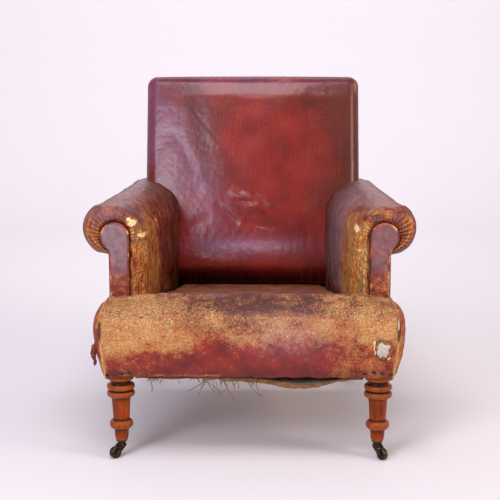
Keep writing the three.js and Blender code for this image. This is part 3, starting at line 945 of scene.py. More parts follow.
        # Painted sheen: pale mauve highlights on the top roll, across the swell of the lower back,
        # in a band down the left and along the left edge, where window and ceiling light is
        # reflected.
        hide.mark("bloom", 0.18 * smoothstep(560, 596, z) * hump(x, -40, 260))
        hide.mark("bloom", 0.42 * hump(z, 146, 24) * hump(x, -30, 130))
        hide.mark("bloom", 0.26 * stroke(place[..., :2], (-320, 660), (-70, 160), 50))
        hide.mark("bloom", 0.30 * hump(x, -272, 26) * smoothstep(330, 420, z))
        # Painted shade: dark where the back goes down behind the seat, in its lower corners beside
        # the arms, and low on the right, where the right arm shades it.
        hide.mark("grime", 0.95 * smoothstep(84, 52, z))
        hide.mark("grime", 0.5 * smoothstep(130, 70, z) * smoothstep(40, 260, np.abs(x)))
        hide.mark("grime", 0.36 * smoothstep(250, 120, z) * smoothstep(110, 180, x))
        # Painted shade in the two shallow hollows beside the raised middle.
        for side, lean in ((-1, 0.16), (1, 0.10)):
            middle = side * (158 - lean * (560 - z))
            deep, wide = (0.42, 34) if side < 0 else (0.26, 24)
            hide.mark("grime", deep * hump(x, middle, wide) * smoothstep(300, 420, z))

    def build(self, finishes: Finishes) -> bpy.types.Object:
        """Makes the piece and lets it stand for the cover and the stuffing under it."""
        hide = self.shape()
        self.crease(hide)
        self.wear(hide)
        piece = write_hides("inside_back", [hide], finishes.back)
        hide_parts("inside_back_cover", "back_stuffing")
        return piece


@dataclass
class OutsideBack:
    """The thin panel that closes the back, nailed round its edge."""

    half_width: float = 293.0
    bottom: float = -38.0
    top: float = 621.0
    face: float = 23.3
    round_edge: float = 6.0

    def build(self, finishes: Finishes) -> bpy.types.Object:
        """Makes the panel, with a shallow sag and turned edges."""
        columns, rows = 171, 191
        u = np.linspace(1.0, -1.0, columns)[None, :]
        v = np.linspace(0.0, 1.0, rows)[:, None]
        x = u * self.half_width + 0.0 * v
        z = lerp(self.bottom, self.top - 1.0, v) + 0.0 * u
        inside = np.minimum(self.half_width - np.abs(x), np.minimum(z - self.bottom, self.top - z))
        lip = self.round_edge * (1 - np.sqrt(np.clip(1 - (1 - inside / self.round_edge) ** 2, 0, 1)))
        lip = np.where(inside < self.round_edge, lip, 0.0)
        place = on_plane(x, z)
        slack = 2.4 * cloud(place, 160, 31) - 1.6 * (1 - folds(place, 120, 33))
        y = self.face - np.minimum(lip, 5.0) + slack * smoothstep(0, 60, inside)
        hide = Hide(RECLINE.place(x, y, z), place)
        rim = smoothstep(16, 0, inside)
        hide.mark("rub", 0.02 + 0.45 * rim * smoothstep(-0.2, 0.5, noise(place, 60, 35)))
        hide.mark("rub", 0.32 * smoothstep(60, -38, z) * smoothstep(0, 0.6, noise(place, 90, 36)))
        hide.mark("rub", 0.24 * smoothstep(0.1, 0.8, cloud(place, 120, 37)))
        hide.mark("grime", 0.5 * smoothstep(30, -38, z))
        hide.mark("crack", 0.35 + 0.4 * rim)
        hide.mark("bloom", 0.35 * smoothstep(-0.1, 0.7, cloud(place, 130, 38)))
        piece = write_hides("outside_back", [hide], finishes.panel)
        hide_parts("outside_back_panel")
        return piece


# ---- The arms -----------------------------------------------------------------------------


@dataclass
class ArmLine:
    """The outline of an arm at each depth, for the side whose x is positive."""

    front: float = -318.5
    reference: float = 255.0
    bottom: float = 257.0
    crest: float = 564.0
    inner: tuple[float, float] = (232.0, 195.0)
    radius: tuple[float, float] = (54.0, 43.0)
    roll_x: tuple[float, float] = (317.0, 296.0)
    crest_x: tuple[float, float] = (300.0, 288.0)
    shoulder: tuple[float, float] = (470.0, 480.0)

    def share(self, y: np.ndarray) -> np.ndarray:
        """How far back a depth is, from 0 at the front to 1 at the back."""
        return np.clip((y - self.front) / (self.reference - self.front), 0.0, 1.0)

    def at(self, place: np.ndarray, y: np.ndarray) -> tuple[np.ndarray, np.ndarray]:
        """The outline at a depth.

        Args:
            place: 0..1 up the inner wall, 1..2 over the top, 2..3 round the roll.
            y: the depth of each point.

        Returns:
            Its x and its z.
        """
        t = self.share(y)
        inner, radius = lerp(*self.inner, t), lerp(*self.radius, t)
        roll_x, crest_x = lerp(*self.roll_x, t), lerp(*self.crest_x, t)
        shoulder = lerp(*self.shoulder, t)
        wall = np.clip(place, 0, 1)
        over = np.clip(place - 1, 0, 1) * math.pi / 2
        turn = math.pi / 2 - np.clip(place - 2, 0, 1) * math.pi
        x = np.where(
            place <= 2,
            crest_x - (crest_x - inner) * np.cos(over),
            roll_x + radius * np.cos(turn),
        )
        z = np.where(
            place <= 1,
            lerp(self.bottom, shoulder, wall),
            np.where(
                place <= 2,
                shoulder + (self.crest - shoulder) * np.sin(over),
                self.crest - radius + radius * np.sin(turn),
            ),
        )
        # The short flat between the crest and the roll is shared out, so that the curve is even.
        flat = np.clip((place - 1.8) / 0.4, 0, 1)
        join = lerp(crest_x, roll_x, flat)
        near = (place > 1.8) & (place < 2.2)
        blend = np.sin(np.clip(flat, 0, 1) * math.pi) ** 2
        x = np.where(near, lerp(x, join + (x - np.where(place <= 2, crest_x, roll_x)), blend), x)
        return x, z


@dataclass
class Arm:
    """One scrolled arm: a padded hide drawn into pleats round its front facing."""

    side: Side
    line: ArmLine = field(default_factory=ArmLine)
    ring_start: float = -290.0
    ring_deep: float = 37.0
    facing_edge: float = -321.0
    head: tuple[float, float, float] = (301.0, 496.0, 33.0)
    wall_rows: int = 118
    roll_rows: int = 140
    columns: int = 150
    ring_columns: int = 30
    pleat: float = 5.6

    def rows(self) -> np.ndarray:
        """Places along the outline, closer together round the roll where the pleats are."""
        low = np.linspace(0.0, 1.0, 60, endpoint=False)
        over = np.linspace(1.0, 2.0, self.wall_rows - 60, endpoint=False)
        roll = np.linspace(2.0, 3.0, self.roll_rows)
        return np.concatenate([low, over, roll])

    def facing_point(self, x: np.ndarray, z: np.ndarray) -> tuple[np.ndarray, np.ndarray]:
        """The place on the facing's outline that leather from (x, z) is drawn in to."""
        cx, cz, r = self.head
        dx, dz = x - cx, z - cz
        away = np.maximum(np.hypot(dx, dz), 1e-9)
        round_x, round_z = cx + dx / away * r, cz + dz / away * r
        stem_x = lerp(271.0, 268.0, np.clip((z - 272) / 224, 0, 1))
        stem = (z < cz) & (x < cx)
        return np.where(stem, stem_x, round_x), np.where(stem, z, round_z)

    def shape(self) -> Hide:
        """The hide before it is creased, from the closed rear end to the facing."""
        place = self.rows()[:, None]
        rear = np.full_like(place, 230.0)
        for _ in range(4):
            x, z = self.line.at(place, rear)
            outer = RECLINE.depth_at(z, 20.0)
            inner = RECLINE.depth_at(z, -56.0)
            rear = lerp(inner, outer, smoothstep(274, 289, x))
        share = np.linspace(0.0, 1.0, self.columns)[None, :]
        y = lerp(rear, self.ring_start, share)
        x, z = self.line.at(place, y)
        body = np.stack([x, y, z], axis=2)

        # The rear end is closed by drawing the outline in to a point.
        end = body[:, :1]
        middle = np.array([300.0, 0.0, 522.0])
        cap = []
        for k in np.linspace(0.0, 0.92, 9):
            ring = lerp(middle, end, math.sin(k * math.pi / 2))
            ring = ring.copy()
            ring[..., 1] = end[..., 1] + 3.0 * math.cos(k * math.pi / 2)
            ring[..., 1] = lerp(RECLINE.depth_at(ring[..., 2], 22.0), ring[..., 1], k)
            cap.append(ring)
        turn = np.linspace(0, 1, self.ring_columns + 1)[1:]
        xr, zr = self.line.at(place[:, 0], np.full(len(place), self.line.front))
        qx, qz = self.facing_point(xr, zr)
        ring = []
        for w in turn:
            swing = min(w / 0.80, 1.0) * math.pi / 2
            inset = 0.78 * (1 - math.cos(swing)) + 0.22 * smoothstep(0.78, 1.0, np.array(w))
            deep = self.ring_start - self.ring_deep * math.sin(swing)
            deep = deep + (self.facing_edge - deep) * float(smoothstep(0.80, 1.0, np.array(w)))
            yy = np.full(len(place), deep)
            xs, zs = self.line.at(place[:, 0], yy)
            ring.append(np.stack([lerp(xs, qx, inset), yy, lerp(zs, qz, inset)], axis=1)[:, None])
        points = np.concatenate(cap + [body] + ring, axis=1)
        self.turn = np.concatenate([np.zeros(len(cap) + self.columns), turn])
        self.edge_run = np.concatenate(
            [[0.0], np.cumsum(np.hypot(np.diff(qx), np.diff(qz)))]
        )
        self.edge_at = (qx, qz)
        return Hide(points)

    def crease(self, hide: Hide) -> None:
        """Draws the pleats and lays slack, cracks and dents in the hide."""
        p = hide.points
        seed = 40 if self.side is Side.LEFT else 70
        x, y, z = p[..., 0], p[..., 1], p[..., 2]
        w = self.turn[None, :]
        qz = self.edge_at[1][:, None]
        run = self.edge_run[:, None]
        tight = smoothstep(452, 500, qz) * 0.9 + 0.22
        tight = np.where(qz < 430, 0.16 + 0.1 * smoothstep(300, 420, qz), tight)
        slow = on_plane(run, 40 * w)
        wander = 1.3 * noise(slow, 23, seed)
        step = np.where(qz < 440, 1.9, 1.0)
        phase = 2 * math.pi * (np.cumsum(np.gradient(run[:, 0]) / step[:, 0])[:, None])
        phase = phase / self.pleat + wander * 2
        ridge = np.abs(np.sin(phase / 2)) ** 0.7
        strength = smoothstep(0.25, 0.85, w) * (0.65 + 0.35 * noise(slow, 16, seed + 3))
        push = 3.8 * tight * strength * (ridge - 0.62)
        # Between the pleats at the facing and the smooth roll, every other pleat dies away.
        slow_ridge = np.abs(np.sin(phase / 4 + 0.6)) ** 0.8
        push += 1.6 * tight * hump(w, 0.28, 0.22) * (slow_ridge - 0.6) * (w > 0)
        body = (w == 0).astype(float) * smoothstep(0, 30, hide.lay[..., 1])
        push += 2.2 * cloud(p, 95, seed + 5) * body
        wall = smoothstep(470, 430, z) * (x < 262)
        streak = 1 - folds(p * (1.0, 1.0, 0.22), 17, seed + 7)
        push -= 0.9 * streak * body * (0.35 + 0.65 * (x < 300))
        push -= 1.6 * (1 - folds(p * (1.0, 0.8, 0.5), 44, seed + 9)) * body
        # The hand has hollowed the front of the crest.
        push -= 2.5 * hump(y, -215, 60) * hump(x, 285, 38) * (z > 520)
        push += 3.0 * wall * hump(z, 390, 50) * body
        push += 0.3 * cloud(p, 8, seed + 11, 2)
        # The stuffing swells round the front of the roll before it is drawn in.
        push += 5.0 * hump(w, 0.15, 0.38) * smoothstep(-330, -290, y) * (z < 556) * (x > 290)
        push += 5.0 * hump(y, -290, 42) * (w == 0) * smoothstep(320, 345, x)
        hide.push(push)
        self.ridge = np.where(w > 0, ridge, 1.0)
        self.tight = np.where(w > 0, tight * strength, 0.0)

    def wear(self, hide: Hide) -> None:
        """Marks where hands, sleeves and damp have been, and paints shade in the pleats' folds, the
        gaps and the crevices, and sheen on the roll, the crest and the right arm's inner face.
        """
        p = hide.points
        x, y, z = p[..., 0], p[..., 1], p[..., 2]
        w = self.turn[None, :] + 0 * z
        left = self.side is Side.LEFT
        seed = 140 if left else 170
        streaks = 0.5 + 0.5 * noise(p * (1.0, 1.0, 0.25), 14, seed)
        inner = smoothstep(305, 262, x) * smoothstep(300, 350, z)
        ring = smoothstep(0.05, 0.5, w)
        front = smoothstep(-10, -210, y) if left else smoothstep(60, -225, y)
        low = smoothstep(560, 500, z)
        hide.mark("rub", (0.80 if left else 0.96) * inner * front * (0.35 + 0.65 * low)
                  * (0.72 + 0.28 * streaks))
        hide.mark("rub", 0.28 + 0.22 * smoothstep(-0.2, 0.6, cloud(p, 60, seed + 1)))
        lower = smoothstep(520, 490, z) + smoothstep(325, 350, x)
        hide.mark("rub", (0.62 if left else 0.70) * ring * self.ridge**2
                  * np.clip(lower if left else 0.2 + lower, 0, 1))
        outer = ring * smoothstep(330, 362, x)
        hide.mark("rub", 0.8 * outer * hump(w, 0.35, 0.3) * (self.ridge > 0.5))
        # Painted shade in the folds between the pleats, in the gap at the facing, towards the rear
        # of the inner face and low down by the seat.
        hide.mark("grime", 0.72 * self.tight * smoothstep(0.7, 0.15, self.ridge))
        hide.mark("grime", 0.95 * smoothstep(0.93, 1.0, w))
        hide.mark("grime", 0.55 * smoothstep(-110, 130, y) * smoothstep(300, 250, x))
        hide.mark("grime", 0.8 * smoothstep(345, 300, z) * smoothstep(300, 260, x))
        hide.mark("grime", 0.45 * inner * front * smoothstep(0.62, 0.95, streaks))
        hide.mark("crack", 0.85 * inner + 0.45)
        spotty = smoothstep(-0.3, 0.5, cloud(p, 34, seed + 12))
        # Painted sheen: pale highlights on the top and the outer side of the roll, stronger on the
        # left arm, which faces the window.
        hide.mark("bloom", (0.45 if left else 0.2) * smoothstep(505, 545, z)
                  * smoothstep(-60, -240, y) * spotty)
        hide.mark("bloom", (0.3 if left else 0.1) * smoothstep(500, 550, z) * hump(x, 318, 34))
        # Painted sheen on the right arm's inner face, which catches the window on the left.
        if not left:
            hide.mark("bloom", 0.75 * inner * smoothstep(-215, -70, y) * smoothstep(220, 80, y))
        hide.mark("film", 0.50 * smoothstep(0.0, 0.6, cloud(p, 48, seed + 14)) * (1 - 0.6 * ring))
        # Painted sheen along the crest.
        crest = hump(x, 292, 40) * smoothstep(540, 556, z) * (1 - ring)
        hide.mark("bloom", 0.68 * crest * (0.6 + 0.5 * streaks))
        # The edge that is tucked against the back: a worn rim, and painted shade in the slot behind
        # it.
        behind = np.arange(x.shape[1])[None, :] - 9.0 + 0 * x
        hide.mark("rub", 0.75 * hump(behind, 3.4, 1.2) * (x < 330))
        hide.mark("grime", 0.95 * hump(behind, 0.6, 1.3) * (z > 480))
        for cx, cz, rx, rz in (
            ((262, 527, 8, 7), (242, 499, 8, 4.5), (270, 535, 5, 4)) if left
            else ((240, 512, 4, 7), (246, 466, 3, 3))
        ):
            ragged = 1 + 0.5 * noise(p, 6, seed + 9)
            near = ((x - cx) / rx) ** 2 + ((z - cz) / rz) ** 2
            hide.mark("bare", smoothstep(1.3, 0.7, near * ragged) * (y < -262))
            hide.mark("rub", 1.1 * smoothstep(2.6, 1.2, near * ragged) * (y < -262))

    def build(self, finishes: Finishes) -> bpy.types.Object:
        """Makes the piece and lets it stand for the cover and the stuffing under it."""
        hide = self.shape()
        self.crease(hide)
        self.wear(hide)
        if self.side is Side.LEFT:
            hide.mirror()
        hide.lay = hide.lay + (0.0, 0.0, 900.0 * self.side.value)
        tag = self.side.tag
        piece = write_hides(f"inside_arm_{tag}", [hide], finishes.arm)
        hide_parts(f"inside_arm_cover_{tag}", f"arm_stuffing_{tag}")
        return piece


@dataclass
class Facing:
    """The small scroll-topped panel on the front of an arm, covered in thin leather."""

    side: Side
    front: float = -332.0
    rear: float = -319.0
    bevel: float = 3.5
    head: tuple[float, float, float] = (301.0, 496.0, 33.0)

    def outline(self) -> np.ndarray:
        """Points round its edge, clockwise from the bottom of the outer side."""
        cx, cz, r = self.head
        path = [(311.0, 195.0), (291.0, 194.0), (271.0, 195.0), (269.5, 384.0), (268.0, 480.0)]
        for angle in np.linspace(172, -58, 40):
            a = math.radians(angle)
            path.append((cx + r * math.cos(a), cz + r * math.sin(a)))
        path += [(314.6, 458.0), (313.0, 384.0), (311.0, 195.0)]
        return spaced(path, 480, rounds=1)

    def build(self, finishes: Finishes) -> bpy.types.Object:
        """Makes the panel from rings that draw in from its edge to its middle line."""
        edge = self.outline()
        cx, cz, _ = self.head
        middle = np.stack(
            [np.where(edge[:, 1] > cz, cx, lerp(291.0, cx, smoothstep(400, cz, edge[:, 1]))),
             np.clip(edge[:, 1], 214.0, cz)], axis=1,
        )
        half = np.maximum(np.linalg.norm(edge - middle, axis=1, keepdims=True), 1e-6)
        rings = [(0.0, self.rear), (0.0, self.front + self.bevel)]
        for turn in np.radians((30, 60, 90)):
            rings.append(
                (self.bevel * (1 - math.cos(turn)),
                 self.front + self.bevel * (1 - math.sin(turn)))
            )
        rings += [(d, self.front) for d in (5, 6.5, 8, 10, 12.5, 15, 18, 21, 25, 33)]
        seed = 210 if self.side is Side.LEFT else 230
        points = []
        for inset, deep in rings:
            share = np.clip(inset / half, 0, 1)
            ring = edge + (middle - edge) * share
            place = np.stack([ring[:, 0], np.full(len(ring), deep), ring[:, 1]], axis=1)
            soft = 0.9 * cloud(place, 40, seed, 2) + 1.2 * math.sqrt(min(inset, 14) / 14)
            place[:, 1] -= soft if inset >= 5 else 0.0
            points.append(place)
        grid = np.stack(points)
        hide = Hide(grid, np.stack([grid[..., 0], grid[..., 2], grid[..., 1] * 0], axis=2))
        x, z = grid[..., 0], grid[..., 2]
        inset = np.array([r[0] for r in rings])[:, None] + 0 * x
        rough = smoothstep(-0.25, 0.45, noise(grid, 13, seed + 2))
        rim = hump(inset, 2.2, 2.0) * (inset > 0)
        hide.mark("rub", 0.12 + 0.78 * rim * rough)
        dirt = smoothstep(-0.5, 0.6, cloud(grid, 26, seed + 6))
        low = 0.30 if self.side is Side.LEFT else 0.46
        hide.mark("rub", low * smoothstep(455, 400, z) * (0.5 + 0.8 * dirt))
        hide.mark("film", 0.5 * smoothstep(0.6, 0.2, dirt))
        hide.mark("rub", 0.5 * hump(x, 306, 7) * hump(z, 440, 22))
        # Painted shade on the panel's edge, in the gap behind its face.
        hide.mark("grime", 0.9 * (grid[..., 1] > self.front + 8))
        hide.mark("crack", 0.35)
        # Painted sheen on the head, stronger on the left, where the window is reflected.
        hide.mark("bloom", (0.8 if self.side is Side.LEFT else 0.5)
                  * smoothstep(390, 450, z) * smoothstep(2.0, 7.0, inset))
        hide.mark("film", 0.4 * smoothstep(470, 400, z) * smoothstep(300, 360, z))
        if self.side is Side.LEFT:
            hide.mirror()
            hide.lay = hide.lay + (777.0, 0.0, 0.0)
        tag = self.side.tag
        piece = write_hides(f"arm_front_{tag}", [hide], finishes.panel)
        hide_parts(f"arm_facing_{tag}")
        return piece


@dataclass
class OutsideArm:
    """The flat leather outside an arm, from under the roll down to the bottom rail."""

    side: Side
    front: float = -317.0
    tuck: float = 14.5
    bottom: float = 190.0
    face: tuple[float, float] = (318.0, 296.6)
    line: ArmLine = field(default_factory=ArmLine)

    def build(self, finishes: Finishes) -> bpy.types.Object:
        """Makes the panel with its slack and its worn bottom edge."""
        columns, rows = 186, 92
        t = np.linspace(0.0, 1.0, columns)[None, :]
        v = np.linspace(0.0, 1.0, rows)[:, None]
        top = 564.0 - 2 * lerp(*self.line.radius, t) + 3.0
        z = lerp(self.bottom, top, v)
        rear = RECLINE.depth_at(z, 20.0)
        # Below the seat's top the panel runs on forwards to the seat's end.
        front = self.front - self.tuck * smoothstep(356, 346, z)
        y = lerp(front, rear, t)
        x = lerp(*self.face, self.line.share(y))
        seed = 310 if self.side is Side.LEFT else 330
        place = on_plane(y, z)
        inside = np.minimum(np.minimum(y - front, rear - y), z - self.bottom)
        x = x - 4.0 * smoothstep(8, 0, inside) ** 2
        slack = 2.6 * cloud(place, 150, seed) - 2.0 * (1 - folds(place * (1, 0.6, 1), 110, seed + 1))
        x = x + slack * smoothstep(0, 50, inside) + 0.25 * cloud(place, 9, seed + 3, 2)
        hide = Hide(np.stack([x, y, z], axis=2), place + (0.0, 0.0, 50.0 * self.side.value))
        rim = smoothstep(18, 0, inside)
        hide.mark("rub", 0.02 + 0.5 * rim * smoothstep(-0.3, 0.4, noise(place, 50, seed + 5)))
        hide.mark("rub", 0.36 * smoothstep(300, 195, z) * smoothstep(-0.1, 0.6, noise(place, 80, 7)))
        hide.mark("rub", 0.24 * smoothstep(0.1, 0.8, cloud(place, 120, seed + 8)))
        # Painted shade at the top, under the overhang of the roll, and darker towards the bottom.
        hide.mark("grime", 0.6 * smoothstep(top - 45, top - 4, z) + 0.3 * smoothstep(230, 190, z))
        hide.mark("crack", 0.45)
        hide.mark("bloom", 0.4 * smoothstep(-0.1, 0.7, cloud(place, 110, seed + 6)))
        if self.side is Side.LEFT:
            hide.mirror()
        tag = self.side.tag
        piece = write_hides(f"outside_arm_{tag}", [hide], finishes.panel)
        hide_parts(f"outside_arm_panel_{tag}")
        return piece


# ---- The seat -----------------------------------------------------------------------------


@dataclass
class Nose:
    """The rounded front of the seat: a rounded oblong at each level, from the bottom up."""

    back: float = -332.6
    levels: tuple = (
        (197, 322, -404, 10), (222, 329, -414, 20), (257, 337, -424, 26), (297, 341.5, -428, 30),
        (325, 341, -425.5, 32), (345, 333, -416, 34), (358, 316, -401, 36), (365, 291, -384, 34),
        (368, 240, -366, 20),
    )

    def __post_init__(self) -> None:
        """Rounds the levels into a close row of them."""
        start = (194.0, 319.0, -401.0, 10.0)
        self.fine = spaced([start, *self.levels], 110, rounds=3)

    def top(self, x: np.ndarray) -> np.ndarray:
        """The height of the nose's rear edge."""
        order = self.fine[::-1]
        return np.interp(np.abs(x), order[:, 1], order[:, 0], left=368.0)

    def depth(self, x: np.ndarray, level: np.ndarray) -> np.ndarray:
        """How far forward the nose is at x on one level."""
        _, wide, front, corner = level
        past = np.clip(np.abs(x) - (wide - corner), 0, corner)
        return front + corner - np.sqrt(np.maximum(corner**2 - past**2, 0))

    def seam(self, z: np.ndarray) -> np.ndarray:
        """How far from the middle the side seam is at a height."""
        return np.interp(z, [190, 250, 300, 330, 345, 358, 370], [317, 322, 327, 326, 322, 316, 316])


@dataclass
class Seat:
    """The seat's one long hide, from the tuck at the back over the crest to the front edge."""

    nose: Nose = field(default_factory=Nose)
    columns: int = 215
    nose_rows: int = 104
    deck_rows: int = 168
    half_deck: float = 243.0
    deck_back: float = 188.0
    hole: tuple[float, float, float, float] = (292.0, 263.0, 20.0, 22.0)

    def deck(self, x: np.ndarray, y: np.ndarray) -> np.ndarray:
        """The height of the seat between the arms."""
        t = np.clip((y + 333) / 512, 0, 1)
        line = lerp(232.0, 195.0, np.clip((y + 318.5) / 573.5, 0, 1))
        height = lerp(368.0, 291.0, t) - 7.0 * np.sin(math.pi * t) + 0 * x
        height += 5.0 * np.cos(np.clip(x / line, -1, 1) * math.pi / 2) * np.sin(math.pi * t)
        tuck = smoothstep(-300, -240, y)
        height -= 17.0 * smoothstep(-22, 2, np.abs(x) - line) * tuck
        return height - 14.0 * smoothstep(168, 188, y)

    def shape(self) -> Hide:
        """The hide before it is creased."""
        share = np.linspace(-1.0, 1.0, self.columns)
        x_top = share * 316.0
        y = np.linspace(self.deck_back, self.nose.back, self.deck_rows, endpoint=False)
        deck = np.stack(
            [np.broadcast_to(x_top, (len(y), len(share))),
             np.broadcast_to(y[:, None], (len(y), len(share))),
             self.deck(x_top[None, :], y[:, None])], axis=2,
        )
        # Beside the arms' fronts the deck rows only carry on the nose's own height.
        drop = self.nose.top(x_top)[None, :] - 368.0
        deck[..., 2] += drop * smoothstep(-300, -332, y)[:, None]
        profiles = []
        for a in share:
            path = [(a * 316.0, self.nose.back, float(self.nose.top(np.array(a * 316.0))))]
            for level in self.nose.fine[::-1]:
                x = a * float(self.nose.seam(level[0]))
                if abs(x) <= level[1] - 0.4:
                    depth = float(self.nose.depth(np.array(x), level))
                    if depth < self.nose.back - 3:
                        path.append((x, depth, level[0]))
            profiles.append(spaced(path, self.nose_rows, rounds=1))
        nose = np.stack(profiles, axis=1)
        points = np.concatenate([deck, nose], axis=0)
        # Columns run from left to right and rows forwards, so turn the rows round.
        points = points[::-1]
        self.row_is_deck = np.concatenate([np.zeros(self.nose_rows), np.ones(self.deck_rows)]) > 0
        return Hide(points)

    def crease(self, hide: Hide) -> None:
        """Slack, ripples at the crest and dents."""
        p = hide.points
        x, y, z = p[..., 0], p[..., 1], p[..., 2]
        flat = on_plane(x, y + z)
        deck = smoothstep(-350, -300, y)
        push = 3.0 * cloud(flat, 150, 401) * (0.4 + 0.6 * (1 - deck))
        # The leather has slipped forwards and stands in a low uneven ridge along the crest.
        crest = -352 + 9 * noise(flat, 60, 403) + 5 * noise(flat, 22, 404)
        push += (5.5 + 3.5 * noise(flat, 45, 405)) * hump(y, crest, 10) * (z > 345)
        push -= 3.0 * hump(y, crest - 22, 11) * (z > 340) * (0.6 + 0.6 * noise(flat, 60, 406))
        push -= 2.4 * hump(y, crest + 22, 11) * (z > 345)
        push -= 1.6 * (1 - folds(flat * (0.45, 1.0, 1.0), 34, 407)) * (1 - 0.5 * deck)
        push -= 1.4 * (1 - folds(flat * (0.8, 0.6, 1.0), 70, 409)) * deck
        push += 2.2 * hump(z, 330, 22) * (y < -360) * noise(flat * (1, 0.3, 1), 55, 411)
        # It hollows above the bottom rail and is drawn down by its nails.
        push -= 2.5 * hump(z, 226, 16) * (y < -340) * (0.6 + 0.4 * noise(flat, 70, 413))
        push += 0.8 * np.sin(x / 7.5 + 2.5 * noise(flat, 40, 415)) * smoothstep(240, 205, z)
        push += 0.35 * cloud(flat, 8, 417, 2)
        cx, cz, rx, rz = self.hole
        near = np.hypot((x - cx) / rx, (z - cz) / rz)
        push += 1.8 * hump(near, 1.05, 0.2) * (y < -370)
        edge = smoothstep(0.985, 1.0, np.abs(np.linspace(-1, 1, self.columns)))[None, :]
        hide.push(push * (1 - edge))

    def wear(self, hide: Hide) -> None:
        """Marks where a century of legs has rubbed the seat, and paints shade in its crevices and
        torn seams and sheen across its front and its crest.
        """
        p = hide.points
        x, y, z = p[..., 0], p[..., 1], p[..., 2]
        flat = on_plane(x, y + z)
        n = cloud(flat, 70, 431)
        front = smoothstep(-338, -365, y)
        m = cloud(flat, 34, 442)
        upper = smoothstep(236 + 34 * n, 312 + 26 * n, z)
        left = smoothstep(-30, -180, x) * smoothstep(226 + 30 * n, 272 + 26 * n, z)
        right = smoothstep(190, 250, x) * smoothstep(236 + 16 * n, 292, z)
        worn_less = 1 - 0.45 * hump(x, 10, 170) * smoothstep(332, 352, z)
        hide.mark("rub", front * (0.60 * upper * worn_less + 0.10) * (1 + 0.35 * m))
        hide.mark("rub", front * 0.78 * np.maximum(left, right) * (1 + 0.22 * m))
        hide.mark("rub", front * 0.42 * smoothstep(130, 220, x) * (1 + 0.5 * m))
        hide.mark("rub", front * 0.28 * smoothstep(-140, -240, x) * (1 + 0.5 * m))
        middle = hump(x, 85, 85) * hump(z, 290, 42) * front
        hide.mark("rub", 0.46 * (1 - front) + 0.22 * hump(y, -345, 20))
        hide.mark("rub", 0.9 * hump(z, 199, 3.2) * (x < -60) * (0.5 + 0.5 * noise(flat, 25, 434)))
        hide.mark("crack", 0.50 + 0.5 * hump(z, 345, 36) * front)
        hide.mark("film", 0.85 * (1 - front) * (0.85 + 0.3 * n))
        hide.mark("film", 0.95 * smoothstep(318, 346, z + 14 * m) * front)
        hide.mark("film", 0.85 * hump(x, -30, 150) * smoothstep(282, 318, z + 14 * m) * front)
        hide.mark("film", 0.5 * hump(z, 290, 30) * front * smoothstep(-0.1, 0.4, m))
        # Painted sheen across the middle of the front and along the crest.
        hide.mark("bloom", 0.30 * middle)
        hide.mark("bloom", 0.20 * hump(y, -342, 16))
        line = lerp(232.0, 195.0, np.clip((y + 318.5) / 573.5, 0, 1))
        # Painted shade in the crevices beside the arms and at the back.
        hide.mark("grime", 0.85 * smoothstep(-16, -2, np.abs(x) - line) * smoothstep(-300, -280, y))
        hide.mark("grime", 0.85 * smoothstep(120, 178, y))
        hide.mark("grime", 0.35 * smoothstep(232, 205, z) * front)
        # Painted shade where the front meets the arms' fronts.
        hide.mark("grime", 0.7 * hump(y, -331, 5) * smoothstep(240, 262, np.abs(x)))
        # Painted shade inside the torn seams at both ends of the front.
        tear = hump(x, -325, 4) * smoothstep(276, 288, z) * smoothstep(330, 318, z)
        right_tear = hump(x, 324, 4) * smoothstep(262, 280, z) * smoothstep(345, 330, z)
        tear = np.maximum(tear, 0.7 * right_tear)
        hide.mark("grime", tear * smoothstep(-0.5, 0.2, noise(flat, 14, 437)))
        seam = smoothstep(0.965, 1.0, np.abs(np.linspace(-1, 1, self.columns)))[None, :]
        hide.mark("rub", 0.95 * seam * smoothstep(300, 240, z) * front)
        cx, cz, rx, rz = self.hole
        near = np.hypot((x - cx) / rx, (z - cz) / rz) * (1 + 0.25 * noise(flat, 11, 439))
        hide.mark("grime", 0.8 * hump(near, 1.0, 0.14) * (y < -370))
        hide.mark("bare", 0.9 * smoothstep(1.28, 1.12, near) * smoothstep(0.9, 1.1, near)
                  * (y < -370) * (noise(flat, 9, 440) > 0.1))

    def build(self, finishes: Finishes) -> bpy.types.Object:
        """Makes the piece and lets it stand for the cover and the stuffing under it."""
        hide = self.shape()
        self.crease(hide)
        self.wear(hide)
        half = self.half_deck

        def keep(points: np.ndarray, _: int) -> np.ndarray:
            """Cuts the deck to the space between the arms."""
            return (np.abs(points[..., 0]) < half) | (points[..., 1] < self.nose.back + 4.0)

        piece = write_hides("seat", [hide], finishes.seat, keep=keep)
        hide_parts("seat_cover", "seat_stuffing")
        return piece


